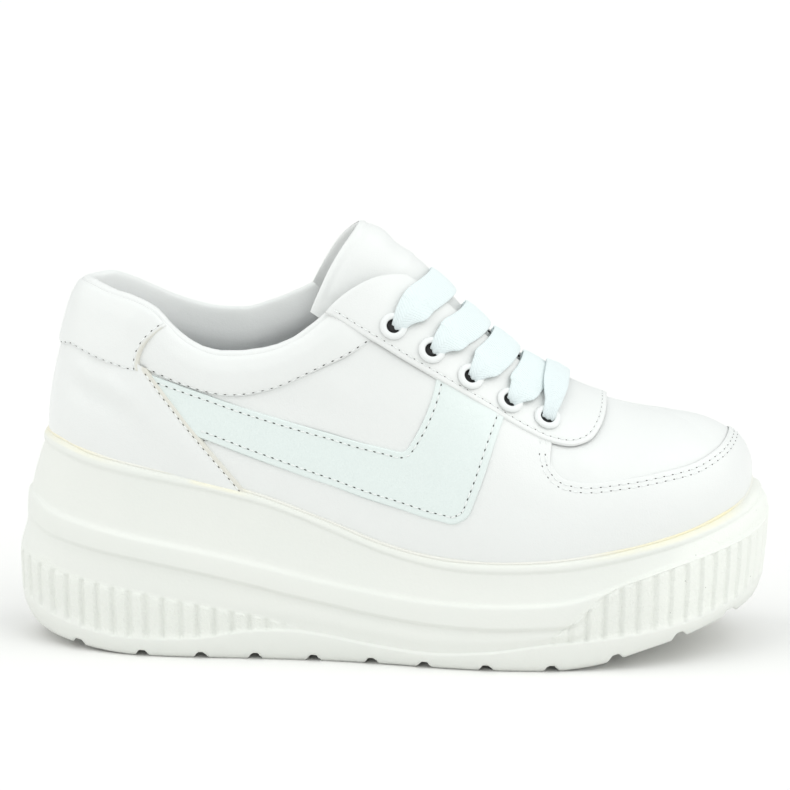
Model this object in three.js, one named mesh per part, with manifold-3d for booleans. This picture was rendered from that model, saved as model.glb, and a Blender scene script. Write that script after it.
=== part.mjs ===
// Platform sneaker, a right shoe of about EU 38, in millimetres.
// The foot points along +X, +Y is the inner (medial) side and +Z is up. The sole stands on z = 0.
// Shapes are worked out from the back of the sole at x = 0, and the finished group is then centred
// over its footprint, so that the origin is the bottom centre of the shoe.
import * as THREE from "three";
import { mergeVertices } from "three/addons/utils/BufferGeometryUtils.js";
import Module from "manifold-3d";

const wasm = await Module();
wasm.setup();

// ---------------------------------------------------------------- driving sizes
const UPPER_HEEL_X = 12.5; // back of the upper where it enters the sole
const UPPER_TOE_X = 267.5; // front of the upper where it enters the sole
const HEEL_SPINE_X = 45; // the heel's profiles gather on the spine here
const TOE_SPINE_X = 236; // the toe's profiles gather on the spine here
const HEEL_FAN_END_X = 75; // ahead of this the profiles stand square to the spine
const TOE_FAN_START_X = 210; // and behind this too
const WALL = 2.2; // leather and lining
const COLLAR_WALL = 6.5; // padded collar
const COLLAR_PAD_DEPTH = 21; // how far the padding reaches down from the collar
const GAP = 0.3; // between pieces that touch
const CUP_DEPTH = 8; // the upper stands this deep in the sole's cup
const TUCK = 1.2; // the upper's lower edge turns in by this much
const INSOLE_THICKNESS = 4;
const STAY_THICKNESS = 1.4; // eyelet stay, which stands proud of the upper
const TONGUE_GAP = 2.7; // room for the lace between the upper and the tongue
const EYELET = { flange: 4.9, rim: 3.6, barrel: 2.9, bore: 2.4, height: 0.9, shank: 4.6, clear: 0.55 };
const EYELET_HOLE = EYELET.barrel + GAP;
const LACE = {
  width: 7.6,
  thickness: 1.2,
  endWidth: 4.4,
  tucked: 4,
  clear: 1.6,
  slack: 0.7,
  barAhead: 1,
  steps: 12,
};

// ---------------------------------------------------------------- tables
// Outline of the upper at the top of the sole: a row for each section.
// centre and half give the outer and inner edges, rim the height of the sole's top edge.
// swell, rise and shoulder shape the section between the rim and the spine.
const SECTIONS = [
  { x: 12.5, centre: 0, half: 0, rim: 77, swell: 1, rise: 0.3, shoulder: 0.2 },
  { x: 20, centre: 0, half: 17.5, rim: 75.2, swell: 1, rise: 0.3, shoulder: 0.2 },
  { x: 32, centre: 0, half: 25.6, rim: 71.6, swell: 1.4, rise: 0.31, shoulder: 0.26 },
  { x: 48, centre: -0.5, half: 30.6, rim: 68.5, swell: 2, rise: 0.34, shoulder: 0.38 },
  { x: 70, centre: -1, half: 32.2, rim: 64.3, swell: 2.4, rise: 0.37, shoulder: 0.47 },
  { x: 92, centre: -2, half: 31.6, rim: 59, swell: 2.4, rise: 0.39, shoulder: 0.54 },
  { x: 116, centre: -2.5, half: 32.2, rim: 50.5, swell: 2.4, rise: 0.41, shoulder: 0.62 },
  { x: 136, centre: -2.5, half: 34.8, rim: 43, swell: 2.4, rise: 0.42, shoulder: 0.68 },
  { x: 156, centre: -2.5, half: 38.8, rim: 38.7, swell: 2.4, rise: 0.42, shoulder: 0.66 },
  { x: 176, centre: -1.8, half: 42.4, rim: 37.7, swell: 2.2, rise: 0.42, shoulder: 0.6 },
  { x: 196, centre: -0.5, half: 43.5, rim: 38.5, swell: 2.4, rise: 0.43, shoulder: 0.55 },
  { x: 214, centre: 1, half: 42.2, rim: 40.8, swell: 2.8, rise: 0.48, shoulder: 0.55 },
  { x: 230, centre: 2.2, half: 38.9, rim: 43.8, swell: 2.8, rise: 0.54, shoulder: 0.58 },
  { x: 244, centre: 4, half: 33.7, rim: 47.1, swell: 2.6, rise: 0.58, shoulder: 0.62 },
  { x: 256, centre: 5.8, half: 25.3, rim: 51, swell: 2.4, rise: 0.6, shoulder: 0.64 },
  { x: 263, centre: 7.6, half: 17, rim: 54, swell: 2.2, rise: 0.6, shoulder: 0.66 },
  { x: 267.5, centre: 9, half: 0, rim: 59.4, swell: 2.2, rise: 0.6, shoulder: 0.66 },
];

// The spine that every section rises to: the instep and toe, and over the collar a form that is cut away.
const SPINE = [
  { x: 45, side: 0, height: 172 },
  { x: 60, side: 0, height: 174 },
  { x: 85, side: 0, height: 175 },
  { x: 103, side: 0.2, height: 172 },
  { x: 114, side: 0.5, height: 165.5 },
  { x: 125, side: 0.8, height: 155.8 },
  { x: 138, side: 1, height: 145.6 },
  { x: 152, side: 1.3, height: 133.4 },
  { x: 169, side: 1.7, height: 117 },
  { x: 187, side: 2.2, height: 102.3 },
  { x: 204, side: 2.8, height: 93.3 },
  { x: 222, side: 3.7, height: 87.4 },
  { x: 236, side: 5, height: 84.9 },
];

// Lines moulded round the side of the sole, by the upper's section that they lie under.
// ledge and undercut bound the raised band, tread is the top of the tread's edge, ground the walking face.
const SOLE_LINES = [
  { x: 12.5, groove: 72.6, ledge: 55, undercut: 46, tread: 18.4, ground: 5.5 },
  { x: 15, groove: 72, ledge: 53.4, undercut: 44.6, tread: 17, ground: 4.7 },
  { x: 20, groove: 70.8, ledge: 50.2, undercut: 41.8, tread: 13.4, ground: 3.2 },
  { x: 32, groove: 67.6, ledge: 46.8, undercut: 38.9, tread: 8.8, ground: 1 },
  { x: 48, groove: 64.9, ledge: 43.6, undercut: 36.2, tread: 6.9, ground: 0 },
  { x: 70, groove: 61.2, ledge: 39.5, undercut: 32, tread: 7.6, ground: 0 },
  { x: 92, groove: 56.2, ledge: 34.9, undercut: 27.2, tread: 11.8, ground: 0 },
  { x: 116, groove: 47.8, ledge: 29.5, undercut: 22, tread: 10.3, ground: 0 },
  { x: 136, groove: 40.3, ledge: 26.2, undercut: 18.4, tread: 7, ground: 0 },
  { x: 156, groove: 35.7, ledge: 24.1, undercut: 16.2, tread: 5.5, ground: 0 },
  { x: 176, groove: 34.4, ledge: 23.6, undercut: 15.5, tread: 7, ground: 0 },
  { x: 196, groove: 35.1, ledge: 24.3, undercut: 16.2, tread: 10.2, ground: 0 },
  { x: 214, groove: 37.3, ledge: 28, undercut: 20, tread: 11.8, ground: 2.2 },
  { x: 230, groove: 40.4, ledge: 34.2, undercut: 25.5, tread: 13.8, ground: 6.6 },
  { x: 244, groove: 43.8, ledge: 38.2, undercut: 29.5, tread: 16.6, ground: 10.6 },
  { x: 256, groove: 47.8, ledge: 42, undercut: 33, tread: 20.6, ground: 14.2 },
  { x: 267.5, groove: 55.6, ledge: 47.4, undercut: 37.4, tread: 26, ground: 18.2 },
];

// The sole's side from the top down: how far it stands out from the upper at the heel, sides and toe.
const SOLE_PROFILE = [
  { between: ["rim", "groove"], share: 0, heel: 1.2, side: 1.2, toe: 1.2 },
  { between: ["rim", "groove"], share: 0.4, heel: 2.6, side: 2.6, toe: 2.9 },
  { between: ["rim", "groove"], share: 0.8, heel: 2.9, side: 2.6, toe: 3.2 },
  { between: ["rim", "groove"], share: 1, heel: 2.9, side: 2.2, toe: 3.2 },
  { between: ["groove", "ledge"], share: 0.5, heel: 5, side: 3, toe: 5.6 },
  { between: ["groove", "ledge"], share: 0.92, heel: 8, side: 4.6, toe: 7 },
  { between: ["groove", "ledge"], share: 1, heel: 9.2, side: 6.4, toe: 7.4 },
  { between: ["ledge", "undercut"], share: 0.9, heel: 9.8, side: 7.2, toe: 7.6 },
  { between: ["ledge", "undercut"], share: 1.06, heel: 10, side: 6.2, toe: 7.4 },
  { between: ["undercut", "tread"], share: 0.5, heel: 12.5, side: 6.8, toe: 6.6 },
  { between: ["undercut", "tread"], share: 0.94, heel: 10.8, side: 6.2, toe: 5.4 },
  { between: ["tread", "ground"], share: 0.06, heel: 10.6, side: 6.8, toe: 5.2 },
  { between: ["tread", "ground"], share: 0.82, heel: 6.4, side: 5.6, toe: 3 },
  { between: ["tread", "ground"], share: 1, heel: 3, side: 4, toe: 1 },
];
const TREAD_GROOVES_X = [26, 50, 71.5, 91, 112, 133, 152, 174, 197, 219.5, 242, 260];
const TREAD_GROOVE = { mouth: 4.2, root: 1.6, depth: 2.3 };

// Collar edge from the heel, under the ankle and up the top edge of the eyelet stay.
const COLLAR = [
  { x: 12, outer: 133.4, inner: 133.4 },
  { x: 20, outer: 133, inner: 133.8 },
  { x: 30, outer: 132, inner: 134.2 },
  { x: 38, outer: 130.4, inner: 131.8 },
  { x: 46, outer: 128.6, inner: 127.8 },
  { x: 55, outer: 124.6, inner: 123.4 },
  { x: 62, outer: 118, inner: 121 },
  { x: 70, outer: 112.6, inner: 119 },
  { x: 80, outer: 110.3, inner: 118.6 },
  { x: 92, outer: 111.3, inner: 121.8 },
  { x: 102, outer: 114.2, inner: 126.2 },
  { x: 110, outer: 119.3, inner: 130.2 },
  { x: 118, outer: 125.8, inner: 133.4 },
  { x: 127, outer: 133, inner: 136.6 },
  { x: 132, outer: 134.6, inner: 137.6 },
  { x: 138, outer: 135, inner: 137.6 },
  { x: 146, outer: 134.4, inner: 136.4 },
];

// Throat between the two rows of eyelets, closed at the front by a round end.
const THROAT = [
  { x: 120, half: 17 },
  { x: 140, half: 15 },
  { x: 160, half: 12.5 },
  { x: 180, half: 10.5 },
  { x: 190, half: 9.5 },
];
const THROAT_END_X = 199.5;

// Lower edge of the eyelet stay, seen from the side, and its front end on the vamp.
const STAY_EDGE = [
  { x: 112, z: 126 },
  { x: 132, z: 114.2 },
  { x: 155, z: 101 },
  { x: 178, z: 87.4 },
  { x: 188, z: 81.7 },
  { x: 196, z: 78.3 },
  { x: 204, z: 77 },
  { x: 210, z: 78.8 },
  { x: 213.6, z: 83.4 },
  { x: 215, z: 90 },
  { x: 214.5, z: 110 },
];

// Eyelets, from the ankle down, by their distance out from the spine. arch is how far the lace from
// each one bows forward as it crosses the sloping instep.
const EYELETS = [
  { x: 139.6, out: 26.8, arch: 8.6 },
  { x: 153, out: 28, arch: 8.6 },
  { x: 166.6, out: 28.4, arch: 6.7 },
  { x: 180.4, out: 28, arch: 2.5 },
  { x: 193.8, out: 27, arch: 1 },
];

// Tongue from its free top down to under the vamp. lag lets the sides fall behind the middle, and lift
// lets the middle stand up from the line of the instep.
const TONGUE = [
  { x: 126.5, half: 23.5, lag: 13, thickness: 3.6, lift: 4.4 },
  { x: 133, half: 25, lag: 11, thickness: 4.4, lift: 3.8 },
  { x: 140, half: 25, lag: 9, thickness: 4.4, lift: 1.8 },
  { x: 147, half: 25, lag: 6.5, thickness: 4.4, lift: 0.4 },
  { x: 160, half: 24, lag: 3, thickness: 4, lift: 0 },
  { x: 180, half: 21.5, lag: 1, thickness: 3.4, lift: 0 },
  { x: 200, half: 18, lag: 0, thickness: 2.8, lift: 0 },
  { x: 212, half: 15, lag: 0, thickness: 2.4, lift: 0 },
];

const COLOURS = {
  leather: { color: 0xf1f2f2, roughness: 0.42, metalness: 0 },
  sole: { color: 0xeeefe9, roughness: 0.55, metalness: 0 },
  lining: { color: 0xe6e7e8, roughness: 0.85, metalness: 0 },
  lace: { color: 0xf2f6f6, roughness: 0.9, metalness: 0 },
  eyelet: { color: 0xf2f5f5, roughness: 0.3, metalness: 0.1 },
};

// ---------------------------------------------------------------- smooth curves through tables
// A smooth curve through a table's rows: at(x) for one column. Its slopes come from the neighbouring
// rows, held so that it never passes beyond them.
function curve(rows, column, along = (row) => row.x) {
  const xs = rows.map(along);
  const ys = rows.map((row) => row[column]);
  const last = xs.length - 1;
  const rise = (a, b) => (ys[b] - ys[a]) / (xs[b] - xs[a]);
  const slopes = xs.map((_, i) => {
    if (i === 0) return rise(0, 1);
    if (i === last) return rise(last - 1, last);
    const before = rise(i - 1, i);
    const after = rise(i, i + 1);
    if (before * after <= 0) return 0;
    const steepest = 3 * Math.min(Math.abs(before), Math.abs(after));
    return Math.sign(before) * Math.min(Math.abs(rise(i - 1, i + 1)), steepest);
  });
  return (x) => {
    if (x <= xs[0]) return ys[0];
    if (x >= xs[last]) return ys[last];
    const i = xs.findIndex((value) => value > x) - 1;
    const width = xs[i + 1] - xs[i];
    const t = (x - xs[i]) / width;
    const t2 = t * t;
    const t3 = t2 * t;
    return (
      (2 * t3 - 3 * t2 + 1) * ys[i] +
      (t3 - 2 * t2 + t) * width * slopes[i] +
      (3 * t2 - 2 * t3) * ys[i + 1] +
      (t3 - t2) * width * slopes[i + 1]
    );
  };
}

// Stations are spaced closely at the heel and toe, where the outline turns.
const UPPER_LENGTH = UPPER_TOE_X - UPPER_HEEL_X;
const stationX = (q) => UPPER_HEEL_X + (UPPER_LENGTH * (1 - Math.cos(Math.PI * q))) / 2;
const stationOf = (x) => Math.acos(1 - (2 * (x - UPPER_HEEL_X)) / UPPER_LENGTH) / Math.PI;
const sectionAt = (column) => curve(SECTIONS, column, (row) => stationOf(row.x));
const section = {
  centre: sectionAt("centre"),
  half: sectionAt("half"),
  rim: sectionAt("rim"),
  swell: sectionAt("swell"),
  rise: sectionAt("rise"),
  shoulder: sectionAt("shoulder"),
};
const soleLine = Object.fromEntries(
  ["groove", "ledge", "undercut", "tread", "ground"].map((name) => [
    name,
    curve(SOLE_LINES, name, (row) => stationOf(row.x)),
  ]),
);
soleLine.rim = section.rim;
const spine = { side: curve(SPINE, "side"), height: curve(SPINE, "height") };
const collar = { outer: curve(COLLAR, "outer"), inner: curve(COLLAR, "inner") };

// ---------------------------------------------------------------- the last's surface
// Where on the spine a station's profile ends: straight above it amidships, gathered at heel and toe.
function spineX(x) {
  if (x < HEEL_FAN_END_X) return gather(x, UPPER_HEEL_X, HEEL_SPINE_X, HEEL_FAN_END_X);
  if (x > TOE_FAN_START_X) return gather(x, UPPER_TOE_X, TOE_SPINE_X, TOE_FAN_START_X);
  return x;
}

function gather(x, tip, centre, end) {
  const t = (x - tip) / (end - tip);
  const cubic = (end - tip) / (end - centre) - 2;
  return centre + (end - centre) * ((1 - cubic) * t * t + cubic * t * t * t);
}

// side is -1 on the outer side of the foot and +1 on the inner.
function outline(q, side) {
  return new THREE.Vector2(stationX(q), section.centre(q) + side * section.half(q));
}

// A point of the last: q along the shoe, side, and v from the rim (0) up to the spine (1).
function lastPoint(q, side, v) {
  const edge = outline(q, side);
  const sx = spineX(edge.x);
  const top = new THREE.Vector2(sx, spine.side(sx));
  const radius = edge.distanceTo(top);
  const dir = edge.clone().sub(top).divideScalar(radius);
  const low = section.rim(q);
  const high = spine.height(sx);
  const slope = spine.height(sx + 0.5) - spine.height(sx - 0.5);
  const reach = section.shoulder(q) * radius;
  const r = bezier(v, radius, radius + section.swell(q), reach, 0);
  const z = bezier(v, low, low + section.rise(q) * (high - low), high + slope * reach * dir.x, high);
  return new THREE.Vector3(top.x + dir.x * r, top.y + dir.y * r, z);
}

function bezier(v, a, b, c, d) {
  const u = 1 - v;
  return u * u * u * a + 3 * u * u * v * b + 3 * u * v * v * c + v * v * v * d;
}

// The loop parameter runs 0 to 1 from heel to toe on the outer side and 1 to 2 back on the inner.
function loopPoint(c, v) {
  const turn = ((c % 2) + 2) % 2;
  return turn <= 1 ? lastPoint(turn, -1, v) : lastPoint(2 - turn, 1, v);
}

function normalAt(c, v) {
  const near = 0.985;
  if (v > near) {
    const both = sideNormal(c, near).add(sideNormal(2 - c, near));
    return both.normalize();
  }
  return sideNormal(c, v);
}

function sideNormal(c, v) {
  const d = 0.004;
  const around = loopPoint(c + d, v).sub(loopPoint(c - d, v));
  const up = loopPoint(c, Math.min(v + d, 1)).sub(loopPoint(c, Math.max(v - d, 0)));
  return around.cross(up).normalize();
}

// A point of the last at a section x, a distance out from the spine, standing off by some height.
function onLast(x, out, off = 0) {
  const side = out < 0 ? -1 : 1;
  const q = stationOf(x);
  let low = 0;
  let high = 1;
  for (let i = 0; i < 30; i++) {
    const v = (low + high) / 2;
    const p = lastPoint(q, side, v);
    if (Math.abs(p.y - spine.side(x)) > Math.abs(out)) low = v;
    else high = v;
  }
  const c = side < 0 ? q : 2 - q;
  const normal = normalAt(c, low);
  return { point: loopPoint(c, low).addScaledVector(normal, off), normal };
}

// ---------------------------------------------------------------- meshes and solids
function geometry(vertices, triangles) {
  const g = new THREE.BufferGeometry();
  g.setAttribute("position", new THREE.Float32BufferAttribute(vertices.flatMap((p) => [p.x, p.y, p.z]), 3));
  g.setIndex(triangles.flat());
  return g;
}

function solid(g) {
  const bare = g.clone();
  bare.deleteAttribute("normal");
  bare.deleteAttribute("uv");
  const merged = mergeVertices(bare, 1e-4);
  return new wasm.Manifold(
    new wasm.Mesh({
      numProp: 3,
      vertProperties: merged.attributes.position.array,
      triVerts: new Uint32Array(merged.index.array),
    }),
  );
}

function geometryOf(manifold) {
  const mesh = manifold.getMesh();
  const g = new THREE.BufferGeometry();
  g.setAttribute("position", new THREE.Float32BufferAttribute(mesh.vertProperties, 3));
  g.setIndex([...mesh.triVerts]);
  return g;
}

const STATIONS = 28; // from heel to toe on each side
const LOOP = 2 * STATIONS;
const LEVELS = 10; // from the rim to the spine
const GATHERED = 4; // stations at each end that share the spine's end point

// The closed rings of a form, bottom ring first, with ladders of quads across the two ends.
function ladderSolid(rings, closedTop) {
  const vertices = rings.flat();
  const triangles = [];
  const at = (ring, i) => ring * LOOP + ((i + LOOP) % LOOP);
  for (let ring = 0; ring + 1 < rings.length; ring++) {
    for (let i = 0; i < LOOP; i++) {
      triangles.push([at(ring, i), at(ring, i + 1), at(ring + 1, i + 1)]);
      triangles.push([at(ring, i), at(ring + 1, i + 1), at(ring + 1, i)]);
    }
  }
  const ladder = (ring, flip) => {
    for (let i = 0; i < STATIONS; i++) {
      const quad = [at(ring, i), at(ring, i + 1), at(ring, -i - 1), at(ring, -i)];
      if (flip) quad.reverse();
      triangles.push([quad[0], quad[2], quad[1]], [quad[0], quad[3], quad[2]]);
    }
  };
  ladder(0, false);
  if (closedTop) ladder(rings.length - 1, true);
  const whole = triangles.filter(([a, b, c]) => {
    const [p, q, r] = [vertices[a], vertices[b], vertices[c]];
    return !(p.equals(q) || q.equals(r) || r.equals(p));
  });
  return solid(geometry(vertices, whole));
}

// The last grown by a wall thickness (negative inwards), ending this far below the cup's floor.
function lastForm(growth, below) {
  const ring = (place) => Array.from({ length: LOOP }, (_, i) => place(i / STATIONS));
  const rings = [];
  rings.push(
    ring((c) => {
      const p = loopPoint(c, 0);
      const outward = normalAt(c, 0).setZ(0).normalize();
      p.addScaledVector(outward, growth(p) - TUCK);
      p.z = section.rim(c <= 1 ? c : 2 - c) - CUP_DEPTH - below;
      return p;
    }),
  );
  for (let level = 0; level < LEVELS; level++) {
    const v = level / LEVELS;
    rings.push(
      ring((c) => {
        const p = loopPoint(c, v);
        return p.addScaledVector(normalAt(c, v), growth(p));
      }),
    );
  }
  rings.push(
    ring((c) => {
      const q = c <= 1 ? c : 2 - c;
      const i = Math.round(q * STATIONS);
      const shared = i < GATHERED ? 0 : i > STATIONS - GATHERED ? STATIONS : i;
      const p = loopPoint(shared / STATIONS, 1);
      return p.addScaledVector(normalAt(shared / STATIONS, 1), growth(p));
    }),
  );
  return ladderSolid(rings, false);
}

// A closed outline in the shoe's side view, as a slab between two values of y.
function sideSlab(points, from, to) {
  const shape = new THREE.Shape(points.map((p) => new THREE.Vector2(p.x, p.z)));
  const g = new THREE.ExtrudeGeometry(shape, { depth: to - from, bevelEnabled: false });
  g.rotateX(Math.PI / 2);
  g.translate(0, to, 0);
  return solid(g);
}

// A closed outline in plan, as a column from one height to another.
function planColumn(shape, from, to) {
  const g = new THREE.ExtrudeGeometry(shape, { depth: to - from, bevelEnabled: false, curveSegments: 8 });
  g.translate(0, 0, from);
  return solid(g);
}

// A post of round or lathed profile standing on the last along its normal.
function onNormal(g, x, out, off) {
  const { point, normal } = onLast(x, out, off);
  const turn = new THREE.Quaternion().setFromUnitVectors(new THREE.Vector3(0, 1, 0), normal);
  return g.applyQuaternion(turn).translate(point.x, point.y, point.z);
}

const SIDES = [
  { name: "lateral", sign: -1 },
  { name: "medial", sign: 1 },
];
const FAR = 120; // beyond the shoe on either side
const OVER = 240; // above the shoe

// ---------------------------------------------------------------- cutters
function smoothRows(rows, columns, step) {
  const curves = columns.map((column) => curve(rows, column));
  const points = [];
  const last = rows[rows.length - 1].x;
  for (let x = rows[0].x; x < last; x += step) points.push([x, ...curves.map((at) => at(x))]);
  points.push([last, ...curves.map((at) => at(last))]);
  return points;
}

function collarCutter() {
  const slab = (column, from, to) => {
    const edge = smoothRows(COLLAR, [column], 4).map(([x, z]) => ({ x, z }));
    edge.unshift({ x: -10, z: edge[0].z });
    edge.push({ x: edge[edge.length - 1].x, z: OVER }, { x: -10, z: OVER });
    return sideSlab(edge, from, to);
  };
  return slab("outer", -FAR, 0).add(slab("inner", 0, FAR));
}

function throatCutter() {
  const edges = smoothRows(THROAT, ["half"], 5);
  const end = edges[edges.length - 1];
  const shape = new THREE.Shape();
  shape.moveTo(edges[0][0], spine.side(edges[0][0]) - edges[0][1]);
  edges.slice(1).forEach(([x, half]) => shape.lineTo(x, spine.side(x) - half));
  const centre = spine.side(end[0]);
  shape.absellipse(end[0], centre, THROAT_END_X - end[0], end[1], -Math.PI / 2, Math.PI / 2, false);
  edges.reverse().forEach(([x, half]) => shape.lineTo(x, spine.side(x) + half));
  return planColumn(shape, 0, OVER);
}

function eyeletDrill() {
  const drills = EYELETS.flatMap(({ x, out }) =>
    SIDES.map(({ sign }) => {
      const drill = new THREE.CylinderGeometry(EYELET_HOLE, EYELET_HOLE, 14, 12);
      return onNormal(drill, x, sign * out, 0);
    }),
  );
  return wasm.Manifold.union(drills.map(solid));
}

// ---------------------------------------------------------------- the pieces
function wallAt(p) {
  const top = p.y < 0 ? collar.outer(p.x) : collar.inner(p.x);
  const down = THREE.MathUtils.smoothstep(top - p.z, COLLAR_PAD_DEPTH - 8, COLLAR_PAD_DEPTH);
  const ahead = THREE.MathUtils.smoothstep(p.x, 100, 124);
  return WALL + (COLLAR_WALL - WALL) * (1 - down) * (1 - ahead);
}

const BELOW = 6; // forms that cut reach this far past what they cut
const collarCut = collarCutter();
const throatCut = throatCutter();
const eyeletHoles = eyeletDrill();

function makeUpper() {
  const outer = lastForm(() => 0, -GAP);
  const inner = lastForm((p) => -wallAt(p), BELOW);
  return outer.subtract(inner).subtract(collarCut).subtract(throatCut).subtract(eyeletHoles);
}

// The eyelet stay: a strip round the throat that stands proud of the upper.
function makeStay() {
  const outer = lastForm(() => GAP + STAY_THICKNESS, 0);
  const inner = lastForm(() => GAP, BELOW);
  const edge = STAY_EDGE.map((row) => ({ x: row.x, z: row.z }));
  edge.push({ x: STAY_EDGE[0].x, z: OVER });
  const strip = sideSlab(edge.reverse(), -FAR, FAR);
  const holes = [collarCut, throatCut, eyeletHoles];
  return holes.reduce((stay, hole) => stay.subtract(hole), outer.subtract(inner).intersect(strip));
}

// The insole lies on the floor of the cup, inside the upper's wall.
function makeInsole() {
  const within = lastForm((p) => -wallAt(p) - GAP, -GAP);
  const top = Array.from({ length: STATIONS + 1 }, (_, i) => {
    const q = i / STATIONS;
    return { x: stationX(q), z: section.rim(q) - CUP_DEPTH + GAP + INSOLE_THICKNESS };
  });
  const outline = [{ x: stationX(1), z: 0 }, ...top.reverse(), { x: stationX(0), z: 0 }];
  return within.intersect(sideSlab(outline, -FAR, FAR));
}

// The unit sole: its moulded side, a cup for the upper, and grooves across the tread.
function makeSole() {
  const rings = [...SOLE_PROFILE].reverse().map((row) =>
    Array.from({ length: LOOP }, (_, i) => {
      const c = i / STATIONS;
      const q = c <= 1 ? c : 2 - c;
      const outward = normalAt(c, 0).setZ(0).normalize();
      const back = Math.max(-outward.x, 0) ** 2;
      const front = Math.max(outward.x, 0) ** 2;
      const off = row.side + (row.heel - row.side) * back + (row.toe - row.side) * front;
      const [high, low] = row.between.map((name) => soleLine[name](q));
      const p = loopPoint(c, 0).addScaledVector(outward, off);
      p.z = high + (low - high) * row.share;
      return p;
    }),
  );
  const cup = lastForm(() => GAP, 0);
  const block = ladderSolid(rings, true).subtract(cup);
  return TREAD_GROOVES_X.reduce((sole, x) => sole.subtract(treadGroove(x)), block);
}

function treadGroove(x) {
  const ground = soleLine.ground(stationOf(x));
  const { mouth, root, depth } = TREAD_GROOVE;
  return sideSlab(
    [
      { x: x - mouth, z: ground - 2 * depth },
      { x: x + mouth, z: ground - 2 * depth },
      { x: x + mouth / 2, z: ground },
      { x: x + root / 2, z: ground + depth },
      { x: x - root / 2, z: ground + depth },
      { x: x - mouth / 2, z: ground },
    ],
    -FAR,
    FAR,
  );
}

// A closed sheet from a grid of outer points and one of inner points.
function sheetSolid(outer, inner) {
  const rows = outer.length;
  const across = outer[0].length;
  const vertices = [...outer.flat(), ...inner.flat()];
  const at = (layer, r, k) => layer * rows * across + r * across + k;
  const triangles = [];
  const quad = (a, b, c, d) => triangles.push([a, b, c], [a, c, d]);
  for (let r = 0; r + 1 < rows; r++) {
    for (let k = 0; k + 1 < across; k++) {
      quad(at(0, r, k), at(0, r, k + 1), at(0, r + 1, k + 1), at(0, r + 1, k));
      quad(at(1, r, k), at(1, r + 1, k), at(1, r + 1, k + 1), at(1, r, k + 1));
    }
    quad(at(0, r, 0), at(0, r + 1, 0), at(1, r + 1, 0), at(1, r, 0));
    quad(at(0, r + 1, across - 1), at(0, r, across - 1), at(1, r, across - 1), at(1, r + 1, across - 1));
  }
  for (let k = 0; k + 1 < across; k++) {
    quad(at(0, 0, k + 1), at(0, 0, k), at(1, 0, k), at(1, 0, k + 1));
    quad(at(0, rows - 1, k), at(0, rows - 1, k + 1), at(1, rows - 1, k + 1), at(1, rows - 1, k));
  }
  return solid(geometry(vertices, triangles));
}

// The padded tongue, bent over the instep under the stay, with a free top above the collar.
function makeTongue() {
  const rows = smoothRows(TONGUE, ["half", "lag", "thickness", "lift"], 7);
  const across = 12;
  const layer = (depthAt) =>
    rows.map(([x, half, lag, thickness, lift]) =>
      Array.from({ length: across + 1 }, (_, k) => {
        const w = (2 * k) / across - 1;
        const rounded = Math.sign(w) * Math.sin((Math.abs(w) * Math.PI) / 2);
        const edge = Math.sqrt(1 - Math.min(Math.abs(rounded), 0.985) ** 6);
        const off = lift * (1 - rounded ** 2) ** 2 - depthAt(thickness, edge);
        return onLast(x - lag * rounded ** 2, half * rounded || 1e-3, off).point;
      }),
    );
  const under = WALL + TONGUE_GAP;
  const outer = layer((thickness, edge) => under + (thickness * (1 - edge)) / 2);
  const inner = layer((thickness, edge) => under + (thickness * (1 + edge)) / 2);
  return sheetSolid(inner, outer);
}

// A painted metal eyelet: a domed flange on the stay and a barrel through the wall.
function makeEyelet(x, out) {
  const { flange, rim, barrel, bore, height, shank } = EYELET;
  const profile = [
    [bore, -shank],
    [barrel, -shank],
    [barrel, 0],
    [flange, 0],
    [flange, height * 0.4],
    [rim, height],
    [bore, height * 0.3],
    [bore, -shank],
  ].map(([r, h]) => new THREE.Vector2(r, h));
  return onNormal(new THREE.LatheGeometry(profile, 14), x, out, GAP + STAY_THICKNESS + EYELET.clear);
}

// A flat lace strand over the throat. way(t) gives {x, out} from its start (0) to its end (1), and
// height(t) how far it stands off the last. It is gathered narrow at the ends that enter an eyelet.
function laceStrand(way, height, narrowStart) {
  const rows = [];
  for (let i = 0; i <= LACE.steps; i++) {
    const t = i / LACE.steps;
    const { x, out } = way(t);
    rows.push({ ...onLast(x, out || 1e-3, height(t)), t });
  }
  const spread = (t) => THREE.MathUtils.smoothstep(t, 0, 0.24);
  const layer = (lift) =>
    rows.map(({ point, normal, t }, i) => {
      const a = rows[Math.max(i - 1, 0)].point;
      const b = rows[Math.min(i + 1, LACE.steps)].point;
      const sideways = b.clone().sub(a).cross(normal).normalize();
      const open = spread(1 - t) * (narrowStart ? spread(t) : 1);
      const half = (LACE.endWidth + (LACE.width - LACE.endWidth) * open) / 2;
      return [-1, 0, 1].map((k) =>
        point
          .clone()
          .addScaledVector(sideways, k * half)
          .addScaledVector(normal, lift),
      );
    });
  return sheetSolid(layer(LACE.thickness), layer(0));
}

const OVER_EYELET = GAP + STAY_THICKNESS + EYELET.clear + EYELET.height + GAP;
const UNDER_UPPER = -WALL - LACE.slack - LACE.thickness;

// The bar across the lowest pair of eyelets.
function makeLaceBar() {
  const { x, out, arch } = EYELETS[EYELETS.length - 1];
  const way = (t) => ({ x: x + LACE.barAhead + arch * Math.sin(Math.PI * t), out: out * (2 * t - 1) });
  return laceStrand(way, (t) => OVER_EYELET + LACE.slack * Math.sin(Math.PI * t), true);
}

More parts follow.
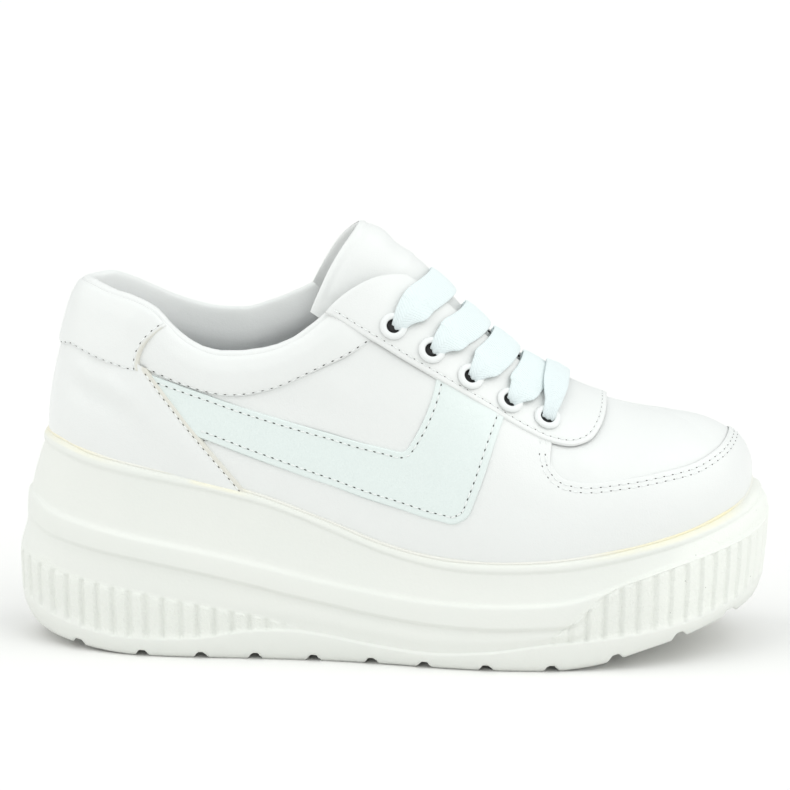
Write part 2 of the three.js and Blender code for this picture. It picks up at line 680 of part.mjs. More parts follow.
// Two strands that cross: each rises from under one side of the throat to the eyelet above on the other.
function makeLaceCrossing(k) {
  const upper = EYELETS[k];
  const lower = EYELETS[k + 1];
  const throat = curve(THROAT, "half")(lower.x);
  const strand = (sign, hump) => {
    const away = (t) => -throat - LACE.tucked + (upper.out + throat + LACE.tucked) * t;
    const way = (t) => {
      const share = away(t) / upper.out;
      const pitch = (lower.x - upper.x) * (1 - share);
      return { x: upper.x + pitch / 2 + upper.arch * Math.cos((Math.PI * share) / 2), out: sign * away(t) };
    };
    const height = (t) => {
      const climb = THREE.MathUtils.smoothstep(away(t), LACE.clear - throat, throat - LACE.clear);
      return UNDER_UPPER + (OVER_EYELET - UNDER_UPPER) * climb + hump * Math.sin(Math.PI * climb);
    };
    return laceStrand(way, height, false);
  };
  return strand(-1, LACE.slack / 2).add(strand(1, LACE.slack * 1.5));
}

// ---------------------------------------------------------------- the assembly
const materials = Object.fromEntries(
  Object.entries(COLOURS).map(([name, look]) => [name, new THREE.MeshStandardMaterial(look)]),
);
const shoe = new THREE.Group();

function place(name, g, material) {
  const mesh = new THREE.Mesh(g, materials[material]);
  mesh.name = name;
  shoe.add(mesh);
}

place("sole", geometryOf(makeSole()), "sole");
place("insole", geometryOf(makeInsole()), "lining");
place("upper", geometryOf(makeUpper()), "leather");
place("eyelet_stay", geometryOf(makeStay()), "leather");
place("tongue", geometryOf(makeTongue()), "leather");
EYELETS.forEach(({ x, out }, i) =>
  SIDES.forEach(({ name, sign }) => place(`eyelet_${name}_${i + 1}`, makeEyelet(x, sign * out), "eyelet")),
);
place("lace_bar", geometryOf(makeLaceBar()), "lace");
for (let k = 0; k + 1 < EYELETS.length; k++) {
  place(`lace_crossing_${k + 1}`, geometryOf(makeLaceCrossing(k)), "lace");
}

const box = new THREE.Box3().setFromObject(shoe);
const middle = box.getCenter(new THREE.Vector3());
const whole = new THREE.Group();
shoe.position.set(-middle.x, -middle.y, -box.min.z);
whole.add(shoe);

export default whole;
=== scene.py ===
"""The looks of a white platform sneaker, one right shoe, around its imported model.

Metres in the model's frame: +X to the toe, +Y to the inner side of the foot, +Z up. Sizes are given in
millimetres from the back of the sole, as a shoemaker has them, and are scaled and placed at the end.
"""

from itertools import product
from types import SimpleNamespace

import bmesh
import bpy
import numpy as np
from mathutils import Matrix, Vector
from mathutils.bvhtree import BVHTree
from mathutils.kdtree import KDTree


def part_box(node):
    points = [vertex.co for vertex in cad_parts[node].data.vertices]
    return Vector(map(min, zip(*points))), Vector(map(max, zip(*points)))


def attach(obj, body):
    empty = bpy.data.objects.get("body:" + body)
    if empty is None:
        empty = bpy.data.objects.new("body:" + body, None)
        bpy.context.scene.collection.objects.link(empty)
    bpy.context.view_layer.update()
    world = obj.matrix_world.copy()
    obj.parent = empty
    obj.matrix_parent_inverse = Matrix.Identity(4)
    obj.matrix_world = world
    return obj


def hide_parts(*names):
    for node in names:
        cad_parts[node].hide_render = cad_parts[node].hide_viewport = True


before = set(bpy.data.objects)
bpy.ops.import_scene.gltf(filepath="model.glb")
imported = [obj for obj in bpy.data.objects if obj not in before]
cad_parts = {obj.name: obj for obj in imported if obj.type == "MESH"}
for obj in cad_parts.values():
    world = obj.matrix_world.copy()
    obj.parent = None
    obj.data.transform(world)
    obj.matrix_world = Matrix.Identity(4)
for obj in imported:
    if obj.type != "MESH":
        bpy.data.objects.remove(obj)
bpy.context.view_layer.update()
MM = 0.001
BODY = "root"

# ---------------------------------------------------------------- studio
# A pale floor under even, soft light. A long lens looks at the outer side from a little above and
# from a little behind the ball of the foot.
AIM = Vector((0.00088, 0.00053, 0.08978))
AZIMUTH, ELEVATION, DISTANCE = np.radians(4), np.radians(10), 1.1
level = np.cos(ELEVATION)
backward = Vector((np.sin(AZIMUTH) * level, -np.cos(AZIMUTH) * level, np.sin(ELEVATION)))
camera = bpy.data.objects.new("camera", bpy.data.cameras.new("camera"))
camera.data.lens = 137.76
camera.data.sensor_width = 36
camera.data.clip_end = 50
camera.location = AIM + backward * DISTANCE
camera.rotation_euler = backward.to_track_quat("Z", "Y").to_euler()
bpy.context.scene.collection.objects.link(camera)
bpy.context.scene.camera = camera
bpy.context.scene.view_settings.view_transform = "Standard"

floor = bpy.data.objects.new("floor", bpy.data.meshes.new("floor"))
bm = bmesh.new()
bmesh.ops.create_grid(bm, x_segments=1, y_segments=1, size=15)
bm.to_mesh(floor.data)
bm.free()
bpy.context.scene.collection.objects.link(floor)
paper = bpy.data.materials.new("floor_paper")
paper.use_nodes = True
surface = paper.node_tree.nodes["Principled BSDF"].inputs
surface["Base Color"].default_value = (0.86, 0.855, 0.845, 1)
surface["Roughness"].default_value = 0.9
surface["Specular IOR Level"].default_value = 0.1
floor.data.materials.append(paper)

world = bpy.data.worlds.new("studio")
world.use_nodes = True
sky = world.node_tree.nodes["Background"].inputs
sky["Color"].default_value = (0.98, 1, 1, 1)
sky["Strength"].default_value = 0.72
bpy.context.scene.world = world

for name, direction, energy, colour in (
    ("lamp_heel", (-1, -0.34, 0.85), 0.92, (1, 0.99, 0.96)),
    ("lamp_toe", (1, -0.34, 0.85), 1.12, (1, 0.99, 0.97)),
    ("lamp_top", (0.1, -0.25, 1), 0.32, (0.86, 0.98, 1)),
):
    lamp = bpy.data.objects.new(name, bpy.data.lights.new(name, "SUN"))
    lamp.data.energy = energy
    lamp.data.color = colour
    lamp.data.angle = np.radians(70)
    lamp.rotation_euler = Vector(direction).to_track_quat("Z", "Y").to_euler()
    bpy.context.scene.collection.objects.link(lamp)

# ---------------------------------------------------------------- last and patterns
# The shoe's last, the form that it is made on. Every piece is worked out from it, as a pattern cutter
# does: c goes round the last's edge (0 heel, 0 to 1 outer side, 1 toe, 1 to 2 inner side) and v goes up
# from the sole's rim (0) to the ridge of the instep (1).
UPPER_HEEL, UPPER_TOE = 12.5, 267.5
HEEL_SPINE, TOE_SPINE = 45, 236
HEEL_FAN_END, TOE_FAN_START = 75, 210
LENGTH = UPPER_TOE - UPPER_HEEL
RIDGE = 0.985


def curved(t, start, end, leaving, arriving):
    """From start to end as t goes from 0 to 1, leaving and arriving at the given slopes."""
    low = (2 * t**3 - 3 * t**2 + 1) * start + (t**3 - 2 * t**2 + t) * leaving
    return low + (3 * t**2 - 2 * t**3) * end + (t**3 - t**2) * arriving


def smooth(at, values, x):
    """A smooth curve through a table's rows that never passes beyond them."""
    width = np.diff(at)
    rise = np.diff(values) / width
    slope = np.concatenate(([rise[0]], np.zeros(len(at) - 2), [rise[-1]]))
    mean = (values[2:] - values[:-2]) / (at[2:] - at[:-2])
    steepest = 3 * np.minimum(abs(rise[:-1]), abs(rise[1:]))
    limited = np.sign(rise[1:]) * np.minimum(abs(mean), steepest)
    slope[1:-1] = np.where(rise[:-1] * rise[1:] <= 0, 0, limited)
    x = np.clip(x, at[0], at[-1])
    i = np.clip(np.searchsorted(at, x, side="right") - 1, 0, len(at) - 2)
    span = width[i]
    return curved((x - at[i]) / span, values[i], values[i + 1], span * slope[i], span * slope[i + 1])


def step(low, high, x):
    """0 below low, 1 above high, and smooth between."""
    t = np.clip((x - low) / (high - low), 0, 1)
    return t * t * (3 - 2 * t)


def station_x(q):
    return UPPER_HEEL + LENGTH * (1 - np.cos(np.pi * q)) / 2


def station_of(x):
    return np.arccos(np.clip(1 - 2 * (x - UPPER_HEEL) / LENGTH, -1, 1)) / np.pi


def table(columns, rows, along=lambda x: x):
    """Curves by name through a table whose first column is x."""
    data = np.array(rows, float)
    at = along(data[:, 0])
    names = columns.split()[1:]
    curves = [lambda x, values=values: smooth(at, values, x) for values in data.T[1:].copy()]
    return SimpleNamespace(**dict(zip(names, curves)))


section = table(
    "x centre half rim swell rise shoulder",
    [
        (12.5, 0, 0, 77, 1, 0.3, 0.2), (20, 0, 17.5, 75.2, 1, 0.3, 0.2),
        (32, 0, 25.6, 71.6, 1.4, 0.31, 0.26), (48, -0.5, 30.6, 68.5, 2, 0.34, 0.38),
        (70, -1, 32.2, 64.3, 2.4, 0.37, 0.47), (92, -2, 31.6, 59, 2.4, 0.39, 0.54),
        (116, -2.5, 32.2, 50.5, 2.4, 0.41, 0.62), (136, -2.5, 34.8, 43, 2.4, 0.42, 0.68),
        (156, -2.5, 38.8, 38.7, 2.4, 0.42, 0.66), (176, -1.8, 42.4, 37.7, 2.2, 0.42, 0.6),
        (196, -0.5, 43.5, 38.5, 2.4, 0.43, 0.55), (214, 1, 42.2, 40.8, 2.8, 0.48, 0.55),
        (230, 2.2, 38.9, 43.8, 2.8, 0.54, 0.58), (244, 4, 33.7, 47.1, 2.6, 0.58, 0.62),
        (256, 5.8, 25.3, 51, 2.4, 0.6, 0.64), (263, 7.6, 17, 54, 2.2, 0.6, 0.66),
        (267.5, 9, 0, 59.4, 2.2, 0.6, 0.66),
    ],
    station_of,
)
spine = table(
    "x side height",
    [
        (45, 0, 172), (60, 0, 174), (85, 0, 175), (103, 0.2, 172), (114, 0.5, 165.5), (125, 0.8, 155.8),
        (138, 1, 145.6), (152, 1.3, 133.4), (169, 1.7, 117), (187, 2.2, 102.3), (204, 2.8, 93.3),
        (222, 3.7, 87.4), (236, 5, 84.9),
    ],
)


def spine_x(x):
    """Profiles stand square to the spine amidships and gather on it at heel and toe."""

    def gather(tip, centre, end):
        t = (x - tip) / (end - tip)
        cubic = (end - tip) / (end - centre) - 2
        return centre + (end - centre) * ((1 - cubic) * t**2 + cubic * t**3)

    heel = gather(UPPER_HEEL, HEEL_SPINE, HEEL_FAN_END)
    toe = gather(UPPER_TOE, TOE_SPINE, TOE_FAN_START)
    return np.where(x < HEEL_FAN_END, heel, np.where(x > TOE_FAN_START, toe, x))


def folded(c):
    """Station and side of a place round the last."""
    turn = np.mod(c, 2)
    return np.where(turn <= 1, turn, 2 - turn), np.where(turn <= 1, -1.0, 1.0)


def last(c, v):
    """Points of the last at places c and heights v."""
    q, side = folded(c)
    x = station_x(q)
    sx = spine_x(x)
    ty = spine.side(sx)
    dx, dy = x - sx, section.centre(q) + side * section.half(q) - ty
    radius = np.hypot(dx, dy)
    low, high = section.rim(q), spine.height(sx)
    slope = spine.height(sx + 0.5) - spine.height(sx - 0.5)
    reach = section.shoulder(q) * radius
    u = 1 - v
    a, b, g, d = u**3, 3 * u**2 * v, 3 * u * v**2, v**3
    r = a * radius + b * (radius + section.swell(q)) + g * reach
    z = a * low + b * (low + section.rise(q) * (high - low)) + g * (high + slope * reach * dx / radius)
    return np.stack([sx + dx / radius * r, ty + dy / radius * r, z + d * high], -1)


def unit(vectors):
    return vectors / np.maximum(np.linalg.norm(vectors, axis=-1, keepdims=True), 1e-12)


def normal(c, v):
    """Outward directions of the last. On the ridge both sides share one."""

    def one(c, v):
        d = 0.003
        around = last(c + d, v) - last(c - d, v)
        up = last(c, np.minimum(v + d, 1)) - last(c, v - d)
        return unit(np.cross(around, up))

    ridge = v > RIDGE
    v = np.minimum(v, RIDGE)
    return unit(one(c, v) + np.where(ridge[..., None], one(2 - c, v), 0))


# ---------------------------------------------------------------- unit sole
# One foamed piece, poured in a mould: a rounded lip round the upper, a raised band along the side,
# ribs with a sparked grain at heel and toe, and cross grooves under the tread.
CUP_DEPTH = 8
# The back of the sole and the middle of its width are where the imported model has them.
sole_low, sole_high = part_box("sole")
SOLE_BACK, SOLE_MIDDLE = 0.05, -0.53
origin = np.array(
    [sole_low.x / MM - SOLE_BACK, (sole_low.y + sole_high.y) / 2 / MM - SOLE_MIDDLE, sole_low.z / MM]
)


def sheet(name, points, **marks):
    """A grid bent to points[column, row], in millimetres. marks are numbers that materials read."""
    columns, rows = points.shape[0] - 1, points.shape[1] - 1
    bm = bmesh.new()
    bmesh.ops.create_grid(bm, x_segments=columns, y_segments=rows, size=0.5)
    flat = np.array([vert.co for vert in bm.verts])
    s = np.round((flat[:, 0] + 0.5) * columns).astype(int)
    t = np.round((flat[:, 1] + 0.5) * rows).astype(int)
    for vert, place in zip(bm.verts, (points[s, t] + origin) * MM):
        vert.co = place
    for mark, values in marks.items():
        layer = bm.verts.layers.float.new(mark)
        for vert, value in zip(bm.verts, np.broadcast_to(values, points.shape[:2])[s, t]):
            vert[layer] = value
    bmesh.ops.remove_doubles(bm, verts=bm.verts, dist=2e-6)
    bmesh.ops.recalc_face_normals(bm, faces=bm.faces)
    for face in bm.faces:
        face.smooth = True
    mesh = bpy.data.meshes.new(name)
    bm.to_mesh(mesh)
    bm.free()
    return mesh


def wear(name, mesh, *materials, slot):
    """The finished piece: it rides on the shoe and takes the given materials; slot is not used."""
    piece = bpy.data.objects.new(name, mesh)
    bpy.context.scene.collection.objects.link(piece)
    for material in materials:
        mesh.materials.append(material)
    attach(piece, BODY)
    return piece


lines = table(
    "x groove ledge undercut ribs tread ground",
    [
        (12.5, 72.6, 55, 46, 32.6, 18, 5), (15, 72, 53.4, 44.6, 31.4, 16.6, 4.3),
        (20, 70.8, 50.2, 41.8, 29, 13.2, 3), (32, 67.6, 46.8, 38.9, 26.3, 8.8, 1),
        (48, 64.9, 43.6, 36.2, 23.7, 6.9, 0), (70, 61.2, 39.5, 32, 19.8, 7.6, 0),
        (92, 56.2, 34.9, 27.2, 15.9, 11, 0), (104, 52.5, 32, 24.4, 13.2, 11.2, 0),
        (116, 47.8, 29.5, 22, 11, 10, 0), (136, 40.3, 26.2, 18.4, 8, 7, 0),
        (156, 35.7, 24.1, 16.2, 6.4, 5.5, 0), (176, 34.4, 23.6, 15.5, 7.8, 7, 0),
        (192, 34.9, 24.1, 16, 10.6, 9.6, 0), (203, 35.7, 25.4, 17, 17.4, 10.8, 0.6),
        (214, 37.3, 28.6, 27.9, 27.2, 11.8, 2.2), (230, 40.4, 34.6, 34.2, 33.8, 13.8, 6.6),
        (244, 43.8, 38.8, 38.4, 38, 16.6, 10.6), (256, 47.8, 42.2, 41.8, 41.4, 20.6, 14.2),
        (267.5, 55.6, 48.8, 48.2, 47, 26, 18.2),
    ],
    station_of,
)
lines.rim = section.rim
# How far the side stands out from the upper, from the lip down: at the heel, the sides and the toe.
SOLE_SIDE = [
    ("rim", "groove", 0, 1.2, 1.2, 1.4),
    ("rim", "groove", 0.12, 2.1, 2, 2.6),
    ("rim", "groove", 0.4, 2.8, 2.6, 3.9),
    ("rim", "groove", 0.75, 3, 2.7, 4.6),
    ("rim", "groove", 1, 2.7, 2.25, 4.7),
    ("groove", "ledge", 0.1, 3.3, 2.45, 5.3),
    ("groove", "ledge", 0.5, 5.6, 3.2, 6.7),
    ("groove", "ledge", 0.93, 7.6, 4.5, 7.2),
    ("groove", "ledge", 0.965, 7.9, 4.9, 7.3),
    ("groove", "ledge", 1, 8.6, 6.3, 7.4),
    ("ledge", "undercut", 0.1, 9, 6.9, 7.5),
    ("ledge", "undercut", 0.94, 9.5, 7.3, 7.6),
    ("ledge", "undercut", 1.1, 9.5, 6.1, 7.5),
    ("undercut", "tread", 0.5, 12.4, 6.8, 6.8),
    ("undercut", "tread", 0.94, 12.1, 6.1, 5.8),
    ("tread", "ground", 0.04, 12, 6.9, 5.6),
    ("tread", "ground", 0.82, 8.4, 5.6, 3.2),
    ("tread", "ground", 1, 4.6, 4, 1),
]
# Levels of the side's mesh, close together where an edge has to be crisp.
SOLE_LEVELS = [
    ("ground", "tread", np.linspace(0, 0.94, 9), 0),
    ("tread", "ribs", np.array([0.0, 0.0, 0.0]), np.array([-0.35, 0, 0.35])),
    ("tread", "ribs", np.linspace(0.08, 0.92, 13), 0),
    ("ribs", "undercut", np.array([0.0, 0.0, 0.0]), np.array([-0.35, 0, 0.35])),
    ("ribs", "undercut", np.linspace(0.12, 0.9, 7), 0),
    ("undercut", "ledge", np.array([-0.1, -0.02, 0.06, 0.14, 0.3, 0.5, 0.7, 0.84, 0.92, 0.97, 1]), 0),
    ("ledge", "groove", np.array([0.012, 0.025, 0.04, 0.07, 0.14, 0.25, 0.4]), 0),
    ("ledge", "groove", np.array([0.55, 0.7, 0.82, 0.9, 0.96, 1]), 0),
    ("groove", "rim", np.array([0.1, 0.25, 0.42, 0.6, 0.78, 0.88, 0.96, 1]), 0),
]
GROOVES = np.array([26, 50, 71.5, 91, 112, 133, 152, 174, 197, 219.5, 242, 260])
HEEL_RIB_PITCH, TOE_RIB_PITCH = 6.25, 6.15
SOLE_COLUMNS = 900

columns = np.linspace(0, 2, SOLE_COLUMNS + 1)
q, side = folded(columns)
outward = normal(columns, np.zeros_like(columns)) * (1, 1, 0)
outward = unit(outward)
back = np.maximum(-outward[:, 0], 0) ** 2
front = np.maximum(outward[:, 0], 0) ** 2
edge = last(columns, np.zeros_like(columns))
outline = edge + outward * 7
length_round = np.concatenate(([0], np.cumsum(np.linalg.norm(np.diff(outline[:, :2], axis=0), axis=1))))
toe_length = np.interp(1, columns, length_round)
rib_phase = np.where(
    edge[:, 0] < 140,
    np.minimum(length_round, length_round[-1] - length_round) / HEEL_RIB_PITCH + 0.5,
    abs(length_round - toe_length) / TOE_RIB_PITCH + 0.5,
)

height = {name: getattr(lines, name)(q) for name in "rim groove ledge undercut ribs tread ground".split()}
profile_z, profile_off = [], []
for high, low, share, heel, sides, toe in SOLE_SIDE:
    profile_z.append(height[high] + (height[low] - height[high]) * share)
    profile_off.append(sides + (heel - sides) * back + (toe - sides) * front)
profile_z = np.array(profile_z[::-1])
profile_off = np.array(profile_off[::-1])
levels = []
for low, high, shares, extra in SOLE_LEVELS:
    for share, dz in zip(shares, np.broadcast_to(extra, shares.shape)):
        levels.append(height[low] + (height[high] - height[low]) * share + dz)
levels = np.maximum.accumulate(np.array(levels), axis=0)
# The undercut dies out under the ball, where the ribs of the toe begin.
dies_out = [row[:3] == ("ledge", "undercut", 1.1) for row in SOLE_SIDE[::-1]].index(True)
profile_off[dies_out] += step(196, 214, edge[:, 0]) * (1 - front)
side_off = np.empty_like(levels)
for k in range(SOLE_COLUMNS + 1):
    rows_z = np.maximum.accumulate(profile_z[:, k] + np.arange(len(profile_z)) * 1e-4)
    side_off[:, k] = smooth(rows_z, profile_off[:, k], levels[:, k])

# Ribs stand on a sunk panel. The wall above them is sunk too, so that their tops show.
panel = np.clip((height["ribs"] - height["tread"] - 0.8) / 3.5, 0, 1)
across = abs(np.mod(rib_phase, 1) - 0.5) * 2
rib = 1 - step(0.56, 0.86, across)
inside = step(-0.3, 0.3, height["ribs"] - levels) * step(-0.2, 0.5, levels - height["tread"])
above = step(-0.3, 0.3, levels - height["ribs"]) * np.exp(-np.maximum(levels - height["ribs"], 0) / 5)
faded = 1 - 0.8 * step(0.6, 0.95, front)
side_off += panel * (inside * (0.95 * rib - 0.9) * faded - 0.5 * above * (1 - 0.7 * front) * (1 - 0.8 * back))
side_points = edge[None] + outward[None] * side_off[..., None]
side_points[..., 2] = levels


middle = (side_points[0] + side_points[0][::-1]) / 2
rings = [middle + (side_points[0] - middle) * share for share in (0, 0.2, 0.4, 0.6, 0.78, 0.9, 0.97)]
rings += list(side_points)
for ring in rings:
    away = abs(ring[:, 0, None] - GROOVES)
    roof = (2.4 * (1 - step(0.9, 2.9, away))).max(-1)
    ring[:, 2] = np.maximum(ring[:, 2], lines.ground(station_of(ring[:, 0])) + roof)
for off, dz in ((0.95, 0.15), (0.6, -0.1), (0.45, -0.8), (-0.5, -CUP_DEPTH)):
    ring = edge + outward * off
    ring[:, 2] = height["rim"] + dz
    rings.append(ring)
middle = (rings[-1] + rings[-1][::-1]) / 2
rings += [middle + (rings[-1] - middle) * share for share in (0.66, 0.33, 0)]
rings = np.array(rings).transpose(1, 0, 2)


def grained(points):
    """1 where the mould was sparked, on the ribbed panels and the toe's bumper, and 0 elsewhere."""
    x, z = points[..., 0], points[..., 2]
    q = station_of(x)
    top, bottom = lines.ribs(q), lines.tread(q)
    zone = step(-0.5, 1.5, top + 1 - z) * step(-0.4, 0.6, z - bottom) * step(1.5, 4, top - bottom)
    bumper = step(236, 250, x) * step(-2, 3, lines.groove(q) - z) * step(0, 1, z - bottom)
    return np.maximum(zone, bumper * 0.8)


def yellowed(x):
    """How much of the cement's yellow shows: at the heel, in one place under the quarter and at the toe."""
    quarter = step(66, 70, x) * (1 - step(80, 92, x))
    toe = step(205, 235, x) * (1 - step(259, 266, x))
    return np.clip(0.08 + toe + 0.6 * (1 - step(24, 46, x)) + quarter, 0, 1)


class Finish:
    """A material and the few nodes that most finishes share. Patterns are in object coordinates."""

    def __init__(self, name, colour, roughness, **sockets):
        self.material = bpy.data.materials.new(name)
        self.material.use_nodes = True
        self.nodes = self.material.node_tree.nodes
        self.links = self.material.node_tree.links
        self.shader = self.nodes["Principled BSDF"]
        self.shader.inputs["Base Color"].default_value = (*colour, 1)
        self.shader.inputs["Roughness"].default_value = roughness
        for socket, value in sockets.items():
            self.shader.inputs[socket.replace("_", " ")].default_value = value
        self.place = self.nodes.new("ShaderNodeTexCoord").outputs["Object"]
        self.relief = None

    def noise(self, per_mm, detail=3.0, roughness=0.5):
        node = self.nodes.new("ShaderNodeTexNoise")
        node.inputs["Scale"].default_value = per_mm / MM
        node.inputs["Detail"].default_value = detail
        node.inputs["Roughness"].default_value = roughness
        self.links.new(self.place, node.inputs["Vector"])
        return node.outputs["Fac"]

    def cells(self, per_mm):
        node = self.nodes.new("ShaderNodeTexVoronoi")
        node.inputs["Scale"].default_value = per_mm / MM
        self.links.new(self.place, node.inputs["Vector"])
        return node.outputs["Distance"]

    def mark(self, name):
        node = self.nodes.new("ShaderNodeAttribute")
        node.attribute_name = name
        return node.outputs["Fac"]

    def math(self, operation, first, second=0.0):
        node = self.nodes.new("ShaderNodeMath")
        node.operation = operation
        for socket, value in zip(node.inputs, (first, second)):
            if isinstance(value, (int, float)):
                socket.default_value = value
            else:
                self.links.new(value, socket)
        return node.outputs[0]

    def spread(self, value, low, high, to_low, to_high):
        node = self.nodes.new("ShaderNodeMapRange")
        self.links.new(value, node.inputs["Value"])
        for name, number in zip(("From Min", "From Max", "To Min", "To Max"), (low, high, to_low, to_high)):
            node.inputs[name].default_value = number
        return node.outputs["Result"]

    def tint(self, factor, colour):
        """Mixes a colour over what the base colour has so far."""
        node = self.nodes.new("ShaderNodeMix")
        node.data_type = "RGBA"
        self.links.new(factor, node.inputs["Factor"])
        base = self.shader.inputs["Base Color"]
        if base.is_linked:
            self.links.new(base.links[0].from_socket, node.inputs["A"])
        else:
            node.inputs["A"].default_value = base.default_value
        node.inputs["B"].default_value = (*colour, 1)
        self.links.new(node.outputs["Result"], base)

    def roughen(self, value, low, high):
        self.links.new(self.spread(value, 0.3, 0.7, low, high), self.shader.inputs["Roughness"])

    def bump(self, value, depth, strength=1.0):
        """Raises the surface by depth millimetres where the value is 1."""
        node = self.nodes.new("ShaderNodeBump")
        node.inputs["Distance"].default_value = depth * MM
        self.links.new(value, node.inputs["Height"])
        if isinstance(strength, (int, float)):
            node.inputs["Strength"].default_value = strength
        else:
            self.links.new(strength, node.inputs["Strength"])
        if self.relief is not None:
            self.links.new(self.relief, node.inputs["Normal"])
        self.relief = node.outputs["Normal"]
        self.links.new(self.relief, self.shader.inputs["Normal"])


foam = Finish("sole_foam", (0.765, 0.782, 0.745), 0.5, Specular_IOR_Level=0.4)
foam.tint(foam.spread(foam.noise(0.03, 2), 0.35, 0.7, 0, 0.5), (0.785, 0.79, 0.752))
sparked = foam.mark("grained")
# Lighter where the mould was sparked: partly the grain's own paler tone, partly painted light that lifts the
# shade of the downward-facing ribs.
foam.tint(foam.math("MULTIPLY", sparked, 0.6), (0.84, 0.86, 0.81))
foam.tint(foam.math("MULTIPLY", foam.mark("specked"), 0.5), (0.9, 0.92, 0.87))
specks = foam.math("MULTIPLY", foam.math("LESS_THAN", foam.cells(0.22), 0.06), foam.mark("specked"))
foam.tint(foam.math("MULTIPLY", specks, 0.6), (0.35, 0.37, 0.34))
foam.tint(
    foam.math("MULTIPLY", foam.mark("aged"), foam.spread(foam.noise(0.15, 3), 0.3, 0.7, 0.5, 1)),
    (0.85, 0.825, 0.66),
)
foam.roughen(foam.noise(0.25), 0.42, 0.6)
foam.bump(foam.noise(0.9, 2), 0.05)
foam.bump(foam.noise(1.3, 3, 0.7), 0.38, sparked)
yellow = yellowed(rings[..., 0]) * step(-1.9, -0.7, rings[..., 2] - height["rim"][:, None])
speckled = step(222, 245, rings[..., 0]) * grained(rings)
sole_mesh = sheet("sole_unit", rings, grained=grained(rings), aged=yellow, specked=speckled)
sole = wear("sole_unit", sole_mesh, foam.material, slot="sole")
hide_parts("sole")

# ---------------------------------------------------------------- glue line
# Cement squeezed out where the upper is pressed into the sole. It has gone yellow where it is thickest:
# round the toe and the heel and in one place under the quarter.
c = np.linspace(0, 2, 701)[:, None]
angle = np.linspace(0, 2 * np.pi, 7)[None, :]
q, _ = folded(c)
size = 0.7 + 0.16 * np.sin(c * 61) * np.sin(c * 23 + 1)
bead = last(c + 0 * angle, 0 * (c + angle))
out = unit(normal(c + 0 * angle, 0 * (c + angle)) * (1, 1, 0))
bead = bead + out * (0.75 + size * np.cos(angle))[..., None]
bead[..., 2] = section.rim(q) + 0.25 + size * np.sin(angle)

glue = Finish("glue", (0.80, 0.80, 0.76), 0.35)
glue.tint(
    glue.math("MULTIPLY", glue.mark("aged"), glue.spread(glue.noise(0.12, 3), 0.3, 0.7, 0.55, 1)),
    (0.85, 0.79, 0.54),
)
glue.bump(glue.noise(0.8), 0.15)
wear("glue_line", sheet("glue_line", bead, aged=yellowed(bead[..., 0])), glue.material, slot="sole")


# ---------------------------------------------------------------- insole
# A foam footbed covered with the lining cloth. It lies on the floor of the sole's cup, a little higher
# at its edge than in the middle.
WALL, TUCK = 2.2, 1.2


def cloth_finish(name, colour, weave, depth):
    """Knitted lining cloth over thin foam."""
    cloth = Finish(name, colour, 0.85, Sheen_Weight=0.15, Specular_IOR_Level=0.25)
    cloth.tint(cloth.spread(cloth.noise(0.08, 3), 0.35, 0.7, 0, 0.4), tuple(0.93 * k for k in colour))
    cloth.bump(cloth.cells(1 / weave), depth)
    cloth.bump(cloth.noise(0.2, 2), 0.25)
    return cloth.material


c = np.linspace(0, 2, 161)
q, _ = folded(c)
inward = -unit(normal(c, 0 * c) * (1, 1, 0))
rim = last(c, 0 * c) + inward * (WALL + TUCK + 0.5)
middle = (rim + rim[::-1]) / 2
footbed = []
for share, lift in ((0, 0.4), (0.5, 0.4), (1, 0.4), (1, 4.4), (0.95, 4.9), (0.7, 4.6), (0.4, 4.2), (0, 4)):
    ring = middle + (rim - middle) * share
    ring[:, 2] = section.rim(q) - CUP_DEPTH + lift
    footbed.append(ring)
footbed = np.array(footbed).transpose(1, 0, 2)
bed_cloth = cloth_finish("footbed_cloth", (0.88, 0.89, 0.89), 0.7, 0.2)
insole = wear("insole_footbed", sheet("insole_footbed", footbed), bed_cloth, slot="lining")
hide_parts("insole")

# ---------------------------------------------------------------- upper
# Coated leather lasted into the sole. It is cut at the collar and at the throat. At the collar its wall
# is a foam pad and it ends in a narrow roll of lining.
COLLAR_WALL, PAD_DEPTH, COLLAR_FRONT, THROAT_BACK = 6.5, 21, 146, 119
collar = table(
    "x outer inner",
    [
        (12, 133.4, 133.4), (27, 133.4, 133.4), (32, 132.3, 133.7), (38, 130.4, 131.8),
        (46, 128.6, 127.8), (55, 124.6, 123.4), (62, 118, 121), (70, 112.6, 119), (80, 110.3, 118.6),
        (92, 111.3, 121.8), (102, 114.2, 126.2), (110, 119.3, 130.2), (118, 125.8, 133.4),
        (127, 133, 136.6), (132, 134.6, 137.6), (138, 135, 137.6), (146, 134.4, 136.4),
    ],
)
throat = table("x half", [(120, 17), (140, 15), (160, 12.5), (180, 10.5), (190, 9.5)])
THROAT_END = 199.5

# Soft creases of the leather over the heel and quarter: from, to, breadth and height in mm.
CREASES = [
    ((26, 103), (35, 97), 3.4, 1),
    ((24, 97), (31, 90), 3.2, -0.7),
    ((37, 99), (46, 92), 3, 0.9),
    ((33, 93), (42, 85), 3.4, -0.6),
    ((47, 95), (53, 84), 3, 0.4),
    ((60, 84), (74, 69), 5, 0.4),
    ((183, 68), (196, 60), 4, 0.25),
    ((150, 50), (190, 46), 6, 0.3),
    ((112, 104), (128, 92), 5, 0.5),
    ((100, 92), (118, 88), 5, -0.4),
    ((203, 73), (212, 71), 4, 0.6),
]


def creased(points):
    """How far the leather stands out or in at these points because of its creases."""
    total = np.zeros(points.shape[:-1])
    spot = points[..., [0, 2]]
    for start, end, breadth, height in CREASES:
        along = np.subtract(end, start)
        t = np.clip(((spot - start) @ along) / (along @ along), 0, 1)
        away = np.linalg.norm(spot - start - t[..., None] * along, axis=-1)
        total += height * np.exp(-((away / breadth) ** 2)) * (1 - (2 * t - 1) ** 4 * 0.6)
    return total


